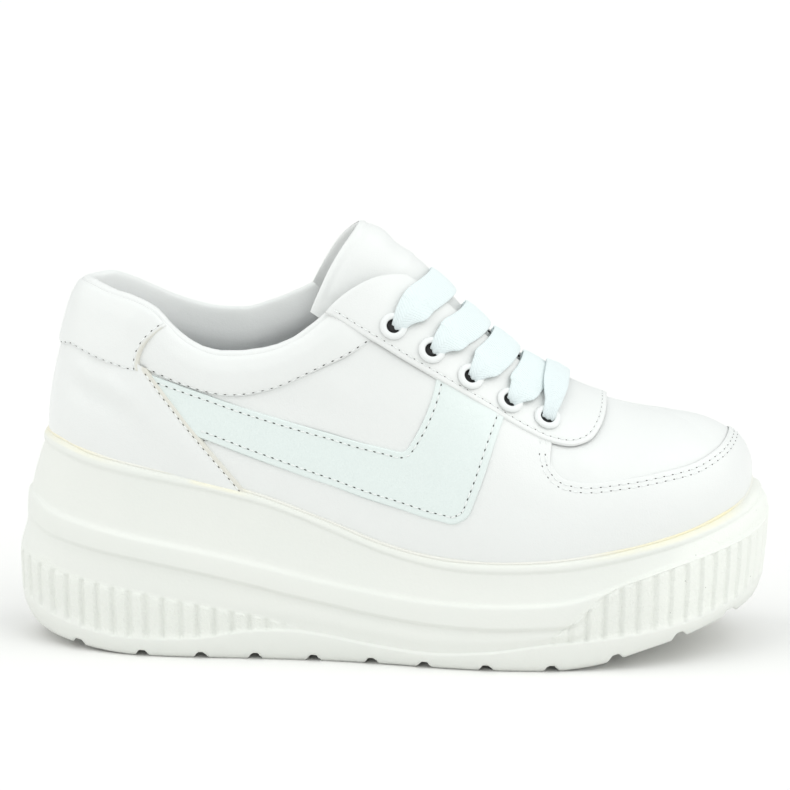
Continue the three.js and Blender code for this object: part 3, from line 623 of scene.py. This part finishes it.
def standing(c, v, off=0.0):
    """Points that stand off the last by off millimetres."""
    points = last(c, v)
    return points + normal(c, v) * (off + creased(points))[..., None]


def throat_half(x):
    """Half the width of the throat, with its round front end."""
    end = 9.5 * np.sqrt(np.clip(1 - ((x - 190) / (THROAT_END - 190)) ** 2, 0, 1))
    return np.where(x < 190, throat.half(x), end)


def wall_at(points):
    top = np.where(points[..., 1] < 0, collar.outer(points[..., 0]), collar.inner(points[..., 0]))
    down = top - points[..., 2]
    full = (0.45 + 0.82 * step(-1, 11, down)) * (1 - step(PAD_DEPTH - 8, PAD_DEPTH, down))
    return WALL + (COLLAR_WALL - WALL) * full * (1 - step(100, 124, points[..., 0]))


c = np.linspace(0, 2, 401)
v = np.linspace(0, 1, 801)
x, y, z = np.moveaxis(last(c[:, None] + 0 * v, v + 0 * c[:, None]), -1, 0)
over = np.where(x > COLLAR_FRONT, -1, z - np.where(y < spine.side(x), collar.outer(x), collar.inner(x)))
inside = np.where((x > THROAT_BACK) & (x < THROAT_END), throat_half(x) - abs(y - spine.side(x)), -1)
cut = np.maximum(over, inside) > 0
top = v[np.where(cut.any(1), cut.argmax(1), 800)][:, None]
closed = top > 0.999
c = c[:, None]
climb = np.linalg.norm(last(c, top) - last(c, top - 0.01), axis=-1) / 0.01
wall = wall_at(last(c, top))
rolled_from = np.where(closed, 1, top - wall / 2 / climb)
share = np.linspace(0, 1, 61)[None, :]
v = rolled_from * share
outer = standing(c + 0 * v, v)
inner = last(c + 0 * v, v) - normal(c + 0 * v, v) * (wall_at(last(c + 0 * v, v)) - 0.1)[..., None]
angle = np.linspace(0, np.pi, 10)[None, 1:-1]
hinge, out = last(c, rolled_from), normal(c, rolled_from)
rise = unit(last(c, rolled_from) - last(c, rolled_from - 0.01)) * ~closed[..., None]
away = (-wall / 2 * (1 - np.cos(angle)))[..., None]
roll = hinge + out * away + rise * (wall / 2 * np.sin(angle))[..., None]
level = unit(normal(c, 0 * c) * (1, 1, 0))
foot = []
for tuck, drop in ((TUCK, CUP_DEPTH - 0.4), (TUCK, CUP_DEPTH / 2), (TUCK + WALL, CUP_DEPTH - 0.4)):
    foot.append(last(c, 0 * c) - level * tuck - np.array([0, 0, drop]))
shell = np.concatenate([foot[0], foot[1], outer, roll, inner[:, ::-3], foot[2]], axis=1)
first_inside = 2 + outer.shape[1] + roll.shape[1]
lined = np.interp(np.arange(shell.shape[1]), [first_inside, first_inside + 5], [0, 1])


def leather_finish(name, colour, shade, roughness=0.36):
    """Smooth coated leather: a fine even grain, faint clouds and a satin topcoat."""
    hide = Finish(name, colour, roughness, Coat_Weight=0.1, Coat_Roughness=0.3, Specular_IOR_Level=0.45)
    hide.tint(hide.spread(hide.noise(0.02, 3), 0.35, 0.7, 0, 0.45), shade)
    hide.tint(hide.math("MULTIPLY", hide.mark("raw"), 0.75), (0.68, 0.66, 0.58))
    # Painted shadow: a near-black line along the top of a panel, where it meets the collar's roll.
    hide.tint(hide.math("MULTIPLY", hide.mark("seam"), 0.7), (0.25, 0.25, 0.24))
    hide.tint(hide.mark("lined"), (0.88, 0.89, 0.89))
    hide.roughen(hide.noise(0.15, 3), roughness - 0.06, roughness + 0.08)
    hide.bump(hide.cells(1.7), 0.03)
    hide.bump(hide.noise(0.12, 3), 0.14)
    return hide.material


LEATHER = leather_finish("leather_white", (0.782, 0.796, 0.785), (0.77, 0.782, 0.772))
upper = wear("upper_shell", sheet("upper_shell", shell, lined=lined), LEATHER, slot="leather")
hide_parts("upper")


# ---------------------------------------------------------------- panels
# Leather pieces cut flat and sewn over the shell, one over the next. Each is drawn by its edges, through
# places seen from the side as (x, z). A cut edge is rounded over and sinks at its very end.
def on(q, side):
    return np.where(side < 0, q, 2 - q)


def places(keys, side):
    """c and v of places (x, z) on one side. On the inner side they follow its own collar."""
    x, z = np.array(keys, float).T
    if side > 0:
        rim, rise = section.rim(station_of(x)), collar.inner(x) - collar.outer(x)
        z = z + rise * step(0.3, 1, (z - rim) / (collar.outer(x) - rim)) * (1 - step(130, 150, x))
    q, v = station_of(x), np.full(len(x), 0.5)
    for _ in range(70):
        here, ahead = last(on(q, side), v), last(on(q + 2e-4, side), v)
        slope = np.maximum((ahead - here)[:, 0] / 2e-4, 20)
        q = np.clip(q + 0.9 * (x - here[:, 0]) / slope, 0, 1)
        here, above = last(on(q, side), v), last(on(q, side), v + 2e-4)
        slope = np.maximum((above - here)[:, 2] / 2e-4, 4)
        v = np.clip(v + 0.9 * (z - here[:, 2]) / slope, -0.02, 1)
    return np.stack([on(q, side), v], -1)


def across(x, out, side):
    """c and v of the place at x that lies so far out from the ridge."""
    c = on(station_of(x), side) + 0 * out
    low, high = np.zeros(np.shape(out)), np.ones(np.shape(out))
    for _ in range(40):
        v = (low + high) / 2
        beyond = abs(last(c, v)[..., 1] - spine.side(x)) > out
        low, high = np.where(beyond, v, low), np.where(beyond, high, v)
    return c, low


def trace(rows, count):
    """Every row of places drawn as a smooth line of count + 1 places."""
    rows = np.array(rows)
    solid = last(rows[..., 0], rows[..., 1])
    gaps = np.linalg.norm(np.diff(solid, axis=1), axis=-1).mean(0)
    along = np.concatenate(([0], np.cumsum(gaps)))
    slope = np.gradient(rows, along, axis=1)
    at = np.linspace(0, along[-1], count + 1)
    i = np.clip(np.searchsorted(along, at, side="right") - 1, 0, len(along) - 2)
    h = (along[i + 1] - along[i])[None, :, None]
    t = ((at - along[i]) / h[0, :, 0])[None, :, None]
    return curved(t, rows[:, i], rows[:, i + 1], h * slope[:, i], h * slope[:, i + 1])


def nearest(points, line):
    """Distance of each point from a line of points."""
    tree = KDTree(len(line))
    for k, place in enumerate(line):
        tree.insert(place, k)
    tree.balance()
    return np.array([tree.find(p)[2] for p in points.reshape(-1, 3)]).reshape(points.shape[:-1])


def dense(line):
    """The line with four steps for each one of its own."""
    at = np.arange(len(line))
    fine = np.linspace(0, len(line) - 1, 4 * len(line))
    return np.stack([np.interp(fine, at, line[:, k]) for k in range(3)], -1)


def cut(away, thickness, radius=0.45, buried=0.4):
    """Height of a cut edge at a distance from it."""
    t = 1 - np.clip(away / radius, 0, 1)
    return (thickness + buried) * np.sqrt(1 - t * t) - buried


SIDES = ((-1, "outer"), (1, "inner"))
# Distances from an edge at which the mesh has rows, so that edges and seams come out crisp.
CLOSE = np.array([0, 0.1, 0.3, 0.6, 1, 1.5, 1.9, 2.3, 2.7, 3.3])
# How far panels go down behind the sole's rim, in heights of the last, how much of the collar's roll
# shows above them, and the breadth of the line of painted shadow between the two.
UNDER_RIM, ROLL, SEAM_SHADE = -0.012, 1.2, 0.5
panels = []


def panel(name, edges, height, columns, middle_rows, material, raw=None, seam=0):
    """A panel between the lower and the upper of its edges.

    height(low, high, ends) and raw(low, high, ends) are worked out from the distances to its edges.
    The last argument is the breadth of a line of painted shadow, where its upper edge meets the collar's
    roll.
    """
    guides = trace(edges, columns)
    low, high = guides[0], guides[-1]

    def between(t):
        if len(guides) == 3:
            bow = guides[1] - (low + high) / 2
            return low[:, None] * (1 - t) + high[:, None] * t + 4 * t * (1 - t) * bow[:, None]
        return low[:, None] * (1 - t) + high[:, None] * t

    width = np.linalg.norm(last(high[:, 0], high[:, 1]) - last(low[:, 0], low[:, 1]), axis=-1)
    near = CLOSE[None] / width[:, None] * np.minimum(1, width / 9)[:, None]
    inner = np.linspace(0, 1, middle_rows + 2)[None, 1:-1]
    rows = np.concatenate([near, near[:, -1:] + (1 - 2 * near[:, -1:]) * inner, 1 - near[:, ::-1]], 1)
    flat = between(rows[..., None])
    base = last(flat[..., 0], flat[..., 1])
    low_away = nearest(base, dense(base[:, 0]))
    high_away = nearest(base, dense(base[:, -1]))
    ends = nearest(base, np.concatenate([dense(base[0]), dense(base[-1])]))
    ends[0] = ends[-1] = 0
    off = height(low_away, high_away, ends)
    points = standing(flat[..., 0], flat[..., 1], off)
    cut_side = raw(low_away, high_away, ends) if raw else 0
    # Painted shadow along the upper edge, where the panel meets the collar's roll.
    dark = (1 - step(seam - 0.2, seam + 0.1, high_away)) * (seam > 0)
    mesh = sheet(name, points, raw=cut_side, seam=dark)
    panels.append(SimpleNamespace(name=name, points=points, mesh=mesh))
    return wear(name, mesh, material, slot="leather")


def round_toe(edge, k):
    """Edge k, over the outer side, through the toe's middle and back over the inner side."""
    return np.concatenate([edge(-1, k), edge(1, k)[-2::-1]])


# Quarter and mudguard: from the heel counter along the sole, round the toe, open over the toes.
GUARD = [
    (80, 62, 84), (90, 84, 80), (108, 104, 74), (126, 122, 69), (144, 140, 64.5), (158, 154, 64),
    (167, 163, 72), (173, 169, 84), (179, 178, 93), (185, 189, 88), (190, 195.3, 84), (193, 196, 79),
    (195, 196, 72.6), (199, 199, 68), (205, 205, 65.9), (215, 220, 66.3), (228, 234, 68.2),
    (241, 247, 70.6), (250, 254.5, 73.6), (268, 259, 77.2),
]


def guard_edge(side, k):
    if k == 0:
        keys = places([(row[0], section.rim(station_of(row[0])) - 0.6) for row in GUARD], side)
        keys[:, 0] = on(station_of(np.minimum([row[0] for row in GUARD], UPPER_TOE)), side)
        keys[:, 1] = UNDER_RIM
    else:
        keys = places([row[1:] for row in GUARD], side)
    keys[-1, 0] = 1
    return keys


def quarter_height(low, high, ends):
    front = np.linspace(-1, 1, low.shape[0])[:, None]
    open_edge = step(0.42, 0.46, 1 - abs(front))
    level = 0.6 + 0.3 * step(0.4, 0.6, 1 - abs(front))
    return open_edge * cut(high, level) + (1 - open_edge) * (0.7 * step(0, 7, high) - 0.1)


panel(
    "quarter_and_mudguard",
    [round_toe(guard_edge, 0), round_toe(guard_edge, 1)],
    quarter_height,
    440,
    12,
    LEATHER,
)

# Side overlays: an L of a glossier, faintly green leather on each side, from counter to stay.
OVERLAY = [
    (69, 80.2, 50, 102.6), (74, 78.5, 54, 101.2), (90, 72.6, 72, 95.3), (108, 66.4, 90, 89.4),
    (125, 60.9, 107, 84.6), (143, 55.8, 125, 79.8), (157, 52.3, 138, 77), (163.5, 51.7, 143, 76),
    (167.3, 54.2, 144.8, 76.5), (169.2, 58.5, 146.4, 78.6), (172, 66, 149.4, 83.7), (175.5, 77, 152.6, 91),
    (179.4, 88.2, 154.8, 99), (180.8, 92, 155.6, 104),
]
gloss = leather_finish("leather_mint", (0.735, 0.80, 0.782), (0.72, 0.785, 0.77), 0.26)
for side, label in SIDES:
    panel(
        "side_overlay_" + label,
        [places([row[:2] for row in OVERLAY], side), places([row[2:] for row in OVERLAY], side)],
        lambda low, high, ends: cut(np.minimum(low, high), 1)
        + 0.35
        - 0.45 * step(3, 14, low)
        - 0.14 * np.exp(-(((np.minimum(low, high) - 2.3) / 0.5) ** 2)),
        150,
        8,
        gloss,
    )

# Collar panels: leather over the foam pad. The lower seam is sewn and turned, so it is soft.
PAD = [
    (44, 106, 47), (55, 101.6, 57), (66, 97.4, 66), (77, 94.6, 77), (86, 94.4, 87), (97, 96.7, 97),
    (107, 100.8, 106), (121, 107.4, 113.5), (129, 112, 119), (136, 116.5, 124.5),
]


def pad_height(low, high, ends):
    fall = 1.25 * (1 - np.clip(high / 2.8, 0, 1)) ** 2
    puff = 1.3 * np.sqrt(1 - (1 - np.clip(low / 9, 0, 1)) ** 2) * step(0, 7, high) * step(0, 16, ends)
    return cut(np.minimum(low, high), 0.3 + 0.4 * step(0, 16, ends), 1.1) - fall + puff


for side, label in SIDES:
    tops = [(row[2], collar.outer(row[2]) - ROLL) for row in PAD]
    pad = panel(
        "collar_pad_" + label,
        [places([row[:2] for row in PAD], side), places(tops, side)],
        pad_height,
        110,
        12,
        LEATHER,
        seam=SEAM_SHADE,
    )

# Heel counter: stiff leather round the back, over the ends of the overlays.
COUNTER = [
    (90, 60, 52.5, 103.3), (82, 62, 47.5, 105.5), (67, 65, 41, 107.5), (50, 68, 34, 110), (33, 71, 26, 113),
    (20, 75, 20, 115), (10, 77, 10, 116),
]


def counter_edge(side, k):
    keys = places([row[2 * k : 2 * k + 2] for row in COUNTER], side)
    if k == 0:
        keys[:, 0] = on(station_of(np.array([row[0] for row in COUNTER], float)), side)
        keys[:, 1] = UNDER_RIM
    keys[-1, 0] = 1 + side
    return keys


def round_heel(edge, k):
    """Edge k, from the inner side through the heel's middle to the outer side."""
    inner = edge(1, k)
    inner[:, 0] -= 2
    return np.concatenate([inner, edge(-1, k)[-2::-1]])


panel(
    "heel_counter",
    [round_heel(counter_edge, 0), round_heel(counter_edge, 1)],
    lambda low, high, ends: cut(ends, 1.1, 0.45, 0.4) - 0.25 * (1 - step(1.5, 2.1, ends))
    + 0.75 * (1 - step(6, 20, ends))
    - 0.14 * np.exp(-(((ends - 2.4) / 0.5) ** 2)),
    170,
    16,
    LEATHER,
    raw=lambda low, high, ends: 1 - step(1.6, 2.2, ends),
)

# Heel tab: padded leather over the top of the counter and the ends of the collar pads.
TAB = [
    (50.6, 101.2, 51.2, 109.6, 60.4), (44, 102.6, 46, 116, 53.6), (37, 104.4, 39, 119, 46.4),
    (30, 106.6, 32, 121, 38), (24, 108.8, 25, 122, 30), (18, 110.4, 20, 123, 22), (8, 111, 8, 123.6, 8),
]


def tab_edge(side, k):
    if k == 2:
        keys = places([(row[4], collar.outer(row[4]) - ROLL) for row in TAB], side)
    else:
        keys = places([row[2 * k : 2 * k + 2] for row in TAB], side)
    keys[-1, 0] = 1 + side
    return keys


def tab_height(low, high, ends):
    fall = 2.05 - 0.8 * step(0, 9, high) - 1.25 * (1 - (1 - np.clip(high / 2.8, 0, 1)) ** 2)
    puff = 0.4 * np.sqrt(1 - (1 - np.clip(low / 8, 0, 1)) ** 2) * step(0, 7, high) * step(2, 12, ends)
    return np.maximum(cut(np.minimum(np.minimum(low, high), ends), 2.1, 1.1, 1.2) - fall + puff, -1.8)


heel_tab = panel(
    "heel_tab",
    [round_heel(tab_edge, k) for k in range(3)],
    tab_height,
    130,
    14,
    LEATHER,
    raw=lambda low, high, ends: (1 - step(1.3, 1.8, ends)) * step(1, 3, high),
    seam=SEAM_SHADE,
)

# Eyelet stay: one piece down both sides of the throat and round its front end.
STAY = [
    (115.5, 123.6, 143), (121, 120.7, 145.4), (132, 114.2, 149.4), (143, 107.8, 154.5), (155, 101, 161),
    (167, 94, 170), (178, 87.4, 179), (188, 81.7, 187), (196, 78.3, 192.5), (204, 77, 195.8),
    (210, 78.8, 198), (213.6, 83, 199), (215, 87, 199.4),
]


def stay_edge(side, k):
    if k == 1:
        low, high = stay_edge(side, 0), stay_edge(side, 2)
        keys = (low + high) / 2
        bow = places([(128.5, 133.6)], side)[0] - keys[0]
        keys[:4] += bow * np.array([1, 0.6, 0.25, 0.06])[:, None]
        return keys
    if k == 0:
        keys = np.concatenate([places([row[:2] for row in STAY], side), [[station_of(215.4), 1]]])
    else:
        x = np.array([row[2] for row in STAY] + [THROAT_END])
        keys = np.stack(across(x, throat_half(x), side), -1)
        keys[-1] = (station_of(THROAT_END), 1)
    if side > 0:
        keys[-1, 0] = 2 - keys[-1, 0]
    return keys


for side, label in SIDES:
    panel(
        "stay_" + label,
        [stay_edge(side, k) for k in range(3)],
        lambda low, high, ends: cut(np.minimum(np.minimum(low, high), ends + 0.15), 1.5, 0.4, 0.2)
        + 0.25 * step(0, 3, low)
        - 0.14 * np.exp(-(((low - 2.1) / 0.5) ** 2)),
        170,
        12,
        LEATHER,
    )
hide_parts("eyelet_stay")

# ---------------------------------------------------------------- stitching
# White polyester thread, three millimetres to a stitch. At each end of a stitch a small near-black spot
# lies on the leather as painted shadow of the needle's hole. Each row lies a little way in from its panel's
# edge. A row stops where another panel covers it.
# Panels, edges, how far in the row lies, the length of two stitches and the size of the painted hole shadows.
STITCHES = [
    ("side_overlay_outer side_overlay_inner", "low", 2.6, 3.1, 0.95),
    ("side_overlay_outer side_overlay_inner", "high", 2, 3.1, 0.95),
    ("quarter_and_mudguard", "high", 2, 3.3, 0.75),
    ("quarter_and_mudguard", "high", 3.7, 3.3, 0.75),
    ("heel_counter", "start finish", 1.1, 2.8, 0.8),
    ("heel_tab", "start finish", 1.4, 2.8, 0.8),
    ("heel_tab", "low", 1, 3.4, 0.8),
    ("collar_pad_outer collar_pad_inner", "low", 0.7, 3.4, 0.9),
    ("stay_outer stay_inner", "low", 2, 3.1, 0.6),
]
corners, faces, owners = [], [], []
for part in panels:
    first = len(corners)
    corners += [vert.co / MM for vert in part.mesh.vertices]
    faces += [[first + k for k in face.vertices] for face in part.mesh.polygons]
    owners += [part.name] * len(part.mesh.polygons)
cover = BVHTree.FromPolygons(corners, faces)
named = {part.name: part.points for part in panels}


def seats(name, edge, inset, pitch):
    """Where a row's stitches lie: for each, its middle, its direction and the way out of the leather."""
    grid = named[name]
    if edge in ("low", "high"):
        grid = grid.transpose(1, 0, 2)
    if edge in ("high", "finish"):
        grid = grid[::-1]
    line, within = grid[1], grid[len(grid) // 3]
    reach = np.concatenate(([0], np.cumsum(np.linalg.norm(np.diff(line, axis=0), axis=1))))
    at = np.arange(pitch, reach[-1] - pitch / 2, pitch / 2)
    middle = np.stack([np.interp(at, reach, line[:, k]) for k in range(3)], -1)
    inner = np.stack([np.interp(at, reach, within[:, k]) for k in range(3)], -1)
    along = unit(np.gradient(middle, axis=0))
    inward = inner - middle
    inward = unit(inward - (inward * along).sum(-1, keepdims=True) * along)
    out = np.cross(along, inward)
    core = np.stack([middle[:, 0], spine.side(middle[:, 0]), 0 * at + 60], -1)
    out *= np.sign((out * (middle - core)).sum(-1, keepdims=True))
    for place, way, facing in zip(middle + inward * inset + origin, along, out):
        hit, flat, face, _ = cover.ray_cast(Vector(place + facing * 5), Vector(-facing), 9)
        if hit is not None and owners[face] == name:
            yield hit, Vector(way), flat if flat.dot(Vector(facing)) > 0 else -flat
        else:
            yield None


bm = bmesh.new()
bmesh.ops.create_uvsphere(bm, u_segments=8, v_segments=4, radius=1)
bmesh.ops.recalc_face_normals(bm, faces=bm.faces)
ball = np.array([vert.co for vert in bm.verts])
ball_faces = [[vert.index for vert in face.verts] for face in bm.faces]
bm.free()


def balls(seats_of_row, half_sizes, lift):
    """The corners of a small stretched ball on each seat, in metres."""
    for middle, along, out in seats_of_row:
        across_row = out.cross(along).normalized()
        axes = np.array([across_row.cross(out), across_row, out]) * np.array(half_sizes)[:, None]
        yield (np.array(middle + out * lift) + ball @ axes) * MM


threads, hole_shadows = [], []
for names, edges, inset, pitch, shadow_size in STITCHES:
    for name, edge in product(names.split(), edges.split()):
        found = list(seats(name, edge, inset, pitch))
        threads += balls([seat for seat in found[0::2] if seat], (1.05, 0.27, 0.2), 0.05)
        # Near-black spots at the stitch ends: painted shadow of the needle holes.
        hole_shadows += balls([seat for seat in found[1::2] if seat], (0.55 * shadow_size, 0.26 * shadow_size, 0.1), 0.01)
every = threads + hole_shadows
stitch_mesh = bpy.data.meshes.new("stitching")
stitch_mesh.from_pydata(
    np.concatenate(every).tolist(),
    [],
    [[corner + len(ball) * k for corner in face] for k in range(len(every)) for face in ball_faces],
)
for face in stitch_mesh.polygons:
    face.use_smooth = True
    face.material_index = int(face.index >= len(threads) * len(ball_faces))
thread = Finish("thread", (0.82, 0.84, 0.83), 0.6)
thread.bump(thread.noise(3), 0.1)
# Near-black finish of the hole spots: painted shadow.
hole_shadow_finish = Finish("needle_hole_shadow", (0.08, 0.08, 0.075), 0.9)
wear("stitching", stitch_mesh, thread.material, hole_shadow_finish.material, slot="leather")

# ---------------------------------------------------------------- tongue
# Two leathers sewn round a thin foam and turned, with a piped edge, and lined with cloth behind. It lies
# under the throat, and its top stands free and bends forward.
tongue = table(
    "x half lag thickness lift",
    [
        (126.5, 27, 16.5, 3, 4.4), (133, 28, 14, 3.8, 5.6), (140, 27, 10, 4, 5), (147, 26, 7, 4.2, 6.2),
        (160, 24, 3, 4, 4.8), (180, 21.5, 1, 3.4, 3.6), (200, 18, 0, 2.8, 2), (212, 15, 0, 2.4, 0),
    ],
)
TONGUE_TOP, TONGUE_END, TONGUE_GAP, PIPING = 126.5, 212, 2.7, 2.2
x = np.concatenate([TONGUE_TOP + 2.5 * np.linspace(0, 1, 9) ** 2, np.linspace(129.8, TONGUE_END, 76)])[None]
w = np.linspace(-1, 1, 61)
w = np.concatenate([w, w[::-1]])[:, None]
front = np.arange(122)[:, None] < 61
r = np.sin(w * np.pi / 2)
side = np.where(w < 0, -1.0, 1.0)
from_side, from_top = tongue.half(x) * (1 - abs(r)), x - TONGUE_TOP + 0 * w
edge_round = np.sqrt(1 - np.minimum(abs(r), 0.985) ** 6)
top_round = 0.1 + 0.9 * np.sqrt(1 - (1 - np.clip(from_top / 2.5, 0, 1)) ** 2)
reach = tongue.half(x) * abs(r)
swept = tongue.lag(x) * np.where(w < 0, abs(r) ** 2.4, 1.15 * r**2)
c, v = across(x - swept, reach * np.where(w < 0, 1, 0.8), side)
middle = tongue.lift(x) * (1 - r**2) ** 2 - (WALL + TONGUE_GAP + tongue.thickness(x) / 2)
half_thick = tongue.thickness(x) / 2 * edge_round * top_round
seam_away = np.minimum(from_side, from_top)
piped = -0.55 * np.exp(-(((seam_away - PIPING) / 0.5) ** 2))
soft = 0.5 * step(PIPING, 9, seam_away) * (x < 145)
folds = 0.2 * np.sin((x + 0.35 * r * 25) * 0.62 + 1) * step(2, 8, from_top) * (1 - step(142, 150, x))
off = middle + np.where(front, half_thick + piped + soft + folds * (1 - r**2), -half_thick)
body = last(c, v) + normal(c, v) * off[..., None]
behind = np.where(front, 0, step(1.2, 2, np.minimum(from_side, from_top)))
tongue_mesh = sheet("tongue", np.concatenate([body, body[:1]]), lined=np.concatenate([behind, behind[:1]]))
tongue_piece = wear("tongue_padded", tongue_mesh, LEATHER, slot="leather")
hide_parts("tongue")

# ---------------------------------------------------------------- eyelets
# Painted brass, set through the stay and clenched behind it. A disc closes each barrel, and the barrel's
# inside and the disc are painted near black as the hole's shadow.
EYELETS = [(139.6, 26.8, 15), (153, 28, 14), (166.6, 28.4, 11), (180.4, 28, 8.5), (193.8, 27, 1)]
EYELET_BASE = 2.25
# Profile of the ring: radius and height in mm, and 1 on the barrel's inside and on the disc that closes it,
# which are painted near black as the hole's shadow.
RING = [
    (0, -0.02, 1), (2.5, -0.02, 1), (2.52, 0.2, 0.8), (2.62, 0.45, 0.15), (2.85, 0.72, 0), (3.25, 0.92, 0),
    (3.8, 0.95, 0), (4.35, 0.78, 0), (4.75, 0.45, 0), (4.92, 0.05, 0), (4.8, -0.3, 0), (3, -0.4, 0),
    (2.95, -3, 0), (0, -3, 0),
]
enamel = Finish("eyelet_enamel", (0.80, 0.82, 0.815), 0.4, Specular_IOR_Level=0.25)
# Painted shadow: the inside of the barrel and the disc that closes it are near black.
enamel.tint(enamel.mark("dark"), (0.01, 0.01, 0.01))
ring = np.array(RING)
for side, label in ((-1, "lateral"), (1, "medial")):
    for number, (x, out, _) in enumerate(EYELETS, 1):
        c, v = across(np.array(x), np.array(out), side)
        axis = normal(c, v)
        first = unit(np.cross(axis, [0, 1, 0]))
        second = np.cross(axis, first)
        turn = np.linspace(0, 2 * np.pi, 41)[:, None, None]
        radial = np.cos(turn) * first + np.sin(turn) * second
        centre = last(c, v) + axis * EYELET_BASE
        points = centre + radial * ring[None, :, :1] + axis * ring[None, :, 1:2]
        name = f"eyelet_ring_{label}_{number}"
        piece = wear(name, sheet(name, points, dark=ring[:, 2]), enamel.material, slot="eyelet")
        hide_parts(f"eyelet_{label}_{number}")

# ---------------------------------------------------------------- laces
# Flat woven polyester, twelve millimetres wide. Each strand comes up from under one side, lies across
# the throat and goes down the eyelet of the other side, where it is drawn together in pleats.
LACE_WIDTH, LACE_THICKNESS, LACE_DRAWN = 12.4, 1, 4.6
UNDER_UPPER, OVER_STAY, OVER_EYELET = -4.1, 2.6, 3.45
# The end of a strand: how far it still is from the eyelet's middle, and how far it has gone down.
DIVE = [(5.5, 0), (4.2, 0), (3.2, 0), (2.2, 0.1), (1.2, 0.4), (0.3, 1), (-0.3, 2), (-0.4, 4), (-0.4, 6)]
yarn = Finish("lace_yarn", (0.745, 0.825, 0.83), 0.75, Sheen_Weight=0.3)
twill = yarn.math("MULTIPLY", yarn.mark("along"), 6.3 / 1.15)
twill = yarn.math("ADD", twill, yarn.math("MULTIPLY", yarn.math("ABSOLUTE", yarn.mark("across")), 2.4))
yarn.bump(yarn.math("SINE", twill), 0.05)
yarn.bump(yarn.noise(1.2, 3), 0.12)
# Darker where the strand is drawn together into pleats at the eyelet: painted shade of its folds.
yarn.tint(yarn.math("MULTIPLY", yarn.mark("drawn"), 0.25), (0.66, 0.70, 0.73))


def evened(row, span):
    """The row with each of its numbers evened out over span of them."""
    return np.convolve(np.pad(row, span // 2, "edge"), np.ones(span) / span, "valid")


def band(name, x, away, lift, drawn, sign):
    """A flat lace along places given by x, the distance across from the ridge and the height."""
    c, v = across(x, abs(away), np.where(away < 0, -sign, sign))
    base, out = last(c, v), normal(c, v)
    out = unit(np.array([evened(out[:, k], 13) for k in range(3)]).T)
    spine_line = base + out * lift[:, None]
    wide = unit(np.cross(np.gradient(base, axis=0), out))
    along = unit(np.gradient(spine_line, axis=0))
    face = unit(np.cross(wide, along))
    width = LACE_WIDTH + (LACE_DRAWN - LACE_WIDTH) * drawn
    thick = LACE_THICKNESS * (1 + 0.7 * drawn)
    turn = np.linspace(0, 2 * np.pi, 37)[None, :]
    flat = np.sign(np.cos(turn)) * abs(np.cos(turn)) ** 0.7
    pleats = 0.28 * drawn[:, None] * np.cos(flat * 7 + 0.6 * sign) * abs(np.sin(turn))
    cup = 0.35 * (1 - flat**2) * (1 - drawn[:, None])
    rise = np.sign(np.sin(turn)) * abs(np.sin(turn)) ** 0.8 * thick[:, None] / 2 + pleats + cup
    points = spine_line[:, None] + wide[:, None] * (flat * width[:, None] / 2)[..., None]
    points = points + face[:, None] * rise[..., None]
    caps = [points[:1].mean(1, keepdims=True) + 0 * points[:1], points]
    caps.append(points[-1:].mean(1, keepdims=True) + 0 * points[-1:])
    length = np.cumsum(np.linalg.norm(np.gradient(spine_line, axis=0), axis=1))
    length = np.concatenate([length[:1], length, length[-1:]])[:, None]
    across_mm = flat * LACE_WIDTH / 2 + 0 * length
    drawn = np.concatenate([drawn[:1], drawn, drawn[-1:]])[:, None]
    mesh = sheet(name, np.concatenate(caps), along=length, across=across_mm, drawn=drawn)
    return wear(name, mesh, yarn.material, slot="lace")


def dived(away, lift, x, goal, x_end):
    """Adds the way down through the eyelet at the end of a strand."""
    gap, depth = np.array(DIVE).T
    kept = away < goal - gap[0] - 0.3
    start = lift[kept][-1]
    ease = np.linspace(1, 0, len(gap))
    away = np.concatenate([away[kept], goal - gap])
    lift = np.concatenate([lift[kept], OVER_EYELET + 0.15 + (start - OVER_EYELET) * ease**3 - depth])
    x = np.concatenate([x[kept], x_end + (x[kept][-1] - x_end) * ease**1.5])
    reach = np.concatenate(([0], np.cumsum(np.hypot(np.hypot(np.diff(away), np.diff(lift)), np.diff(x)))))
    at = np.linspace(0, reach[-1], 90)
    return [evened(np.interp(at, reach, row), 5) for row in (x, away, lift)] + [at, reach[-1]]


for number in range(4):
    x_upper, out_upper, arch = EYELETS[number]
    x_lower = EYELETS[number + 1][0]
    ahead = (13, 13, 13, 3)[number]
    tuck = float(throat.half(x_upper)) + 4
    for sign, hump, label in ((-1, 2.5, "outer"), (1, 1.4, "inner")):
        away = np.linspace(-tuck, out_upper, 60)
        share = away / out_upper
        over = arch * (1 - np.maximum(share, 0) ** 2.6)
        x = x_upper + over + (x_lower + ahead - x_upper - arch) * np.maximum(-share, 0) ** 1.3
        half = throat.half(x)
        climb = step(1.6 - half, half - 1.6, away)
        lift = UNDER_UPPER + (OVER_STAY - UNDER_UPPER) * climb + hump * np.sin(np.pi * climb)
        lift += (OVER_EYELET - OVER_STAY) * step(out_upper - 11, out_upper - 5, away)
        x, away, lift, at, total = dived(away, lift, x, out_upper, x_upper)
        drawn = 1 - step(3.5, 13, total - at)
        piece = band(f"lace_{number + 1}_{label}", x, away, lift, drawn, sign)
        if sign < 0:
            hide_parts(f"lace_crossing_{number + 1}")

x_bar, out_bar, arch = EYELETS[4]
share = np.linspace(0, 1, 60)
half_x, half_away, half_lift, at, total = dived(
    np.linspace(0, out_bar, 60),
    OVER_EYELET + 0.7 * np.cos(np.pi * share / 2),
    x_bar + 1 + arch * np.cos(np.pi * share / 2),
    out_bar,
    x_bar,
)
drawn = 1 - 0.65 * step(3.5, 20, total - at)
half_rows = ((half_x, 1), (half_away, -1), (half_lift, 1), (drawn, 1))
bar = band("lace_front", *(np.concatenate([row[:0:-1] * mirrored, row]) for row, mirrored in half_rows), 1)
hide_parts("lace_bar")
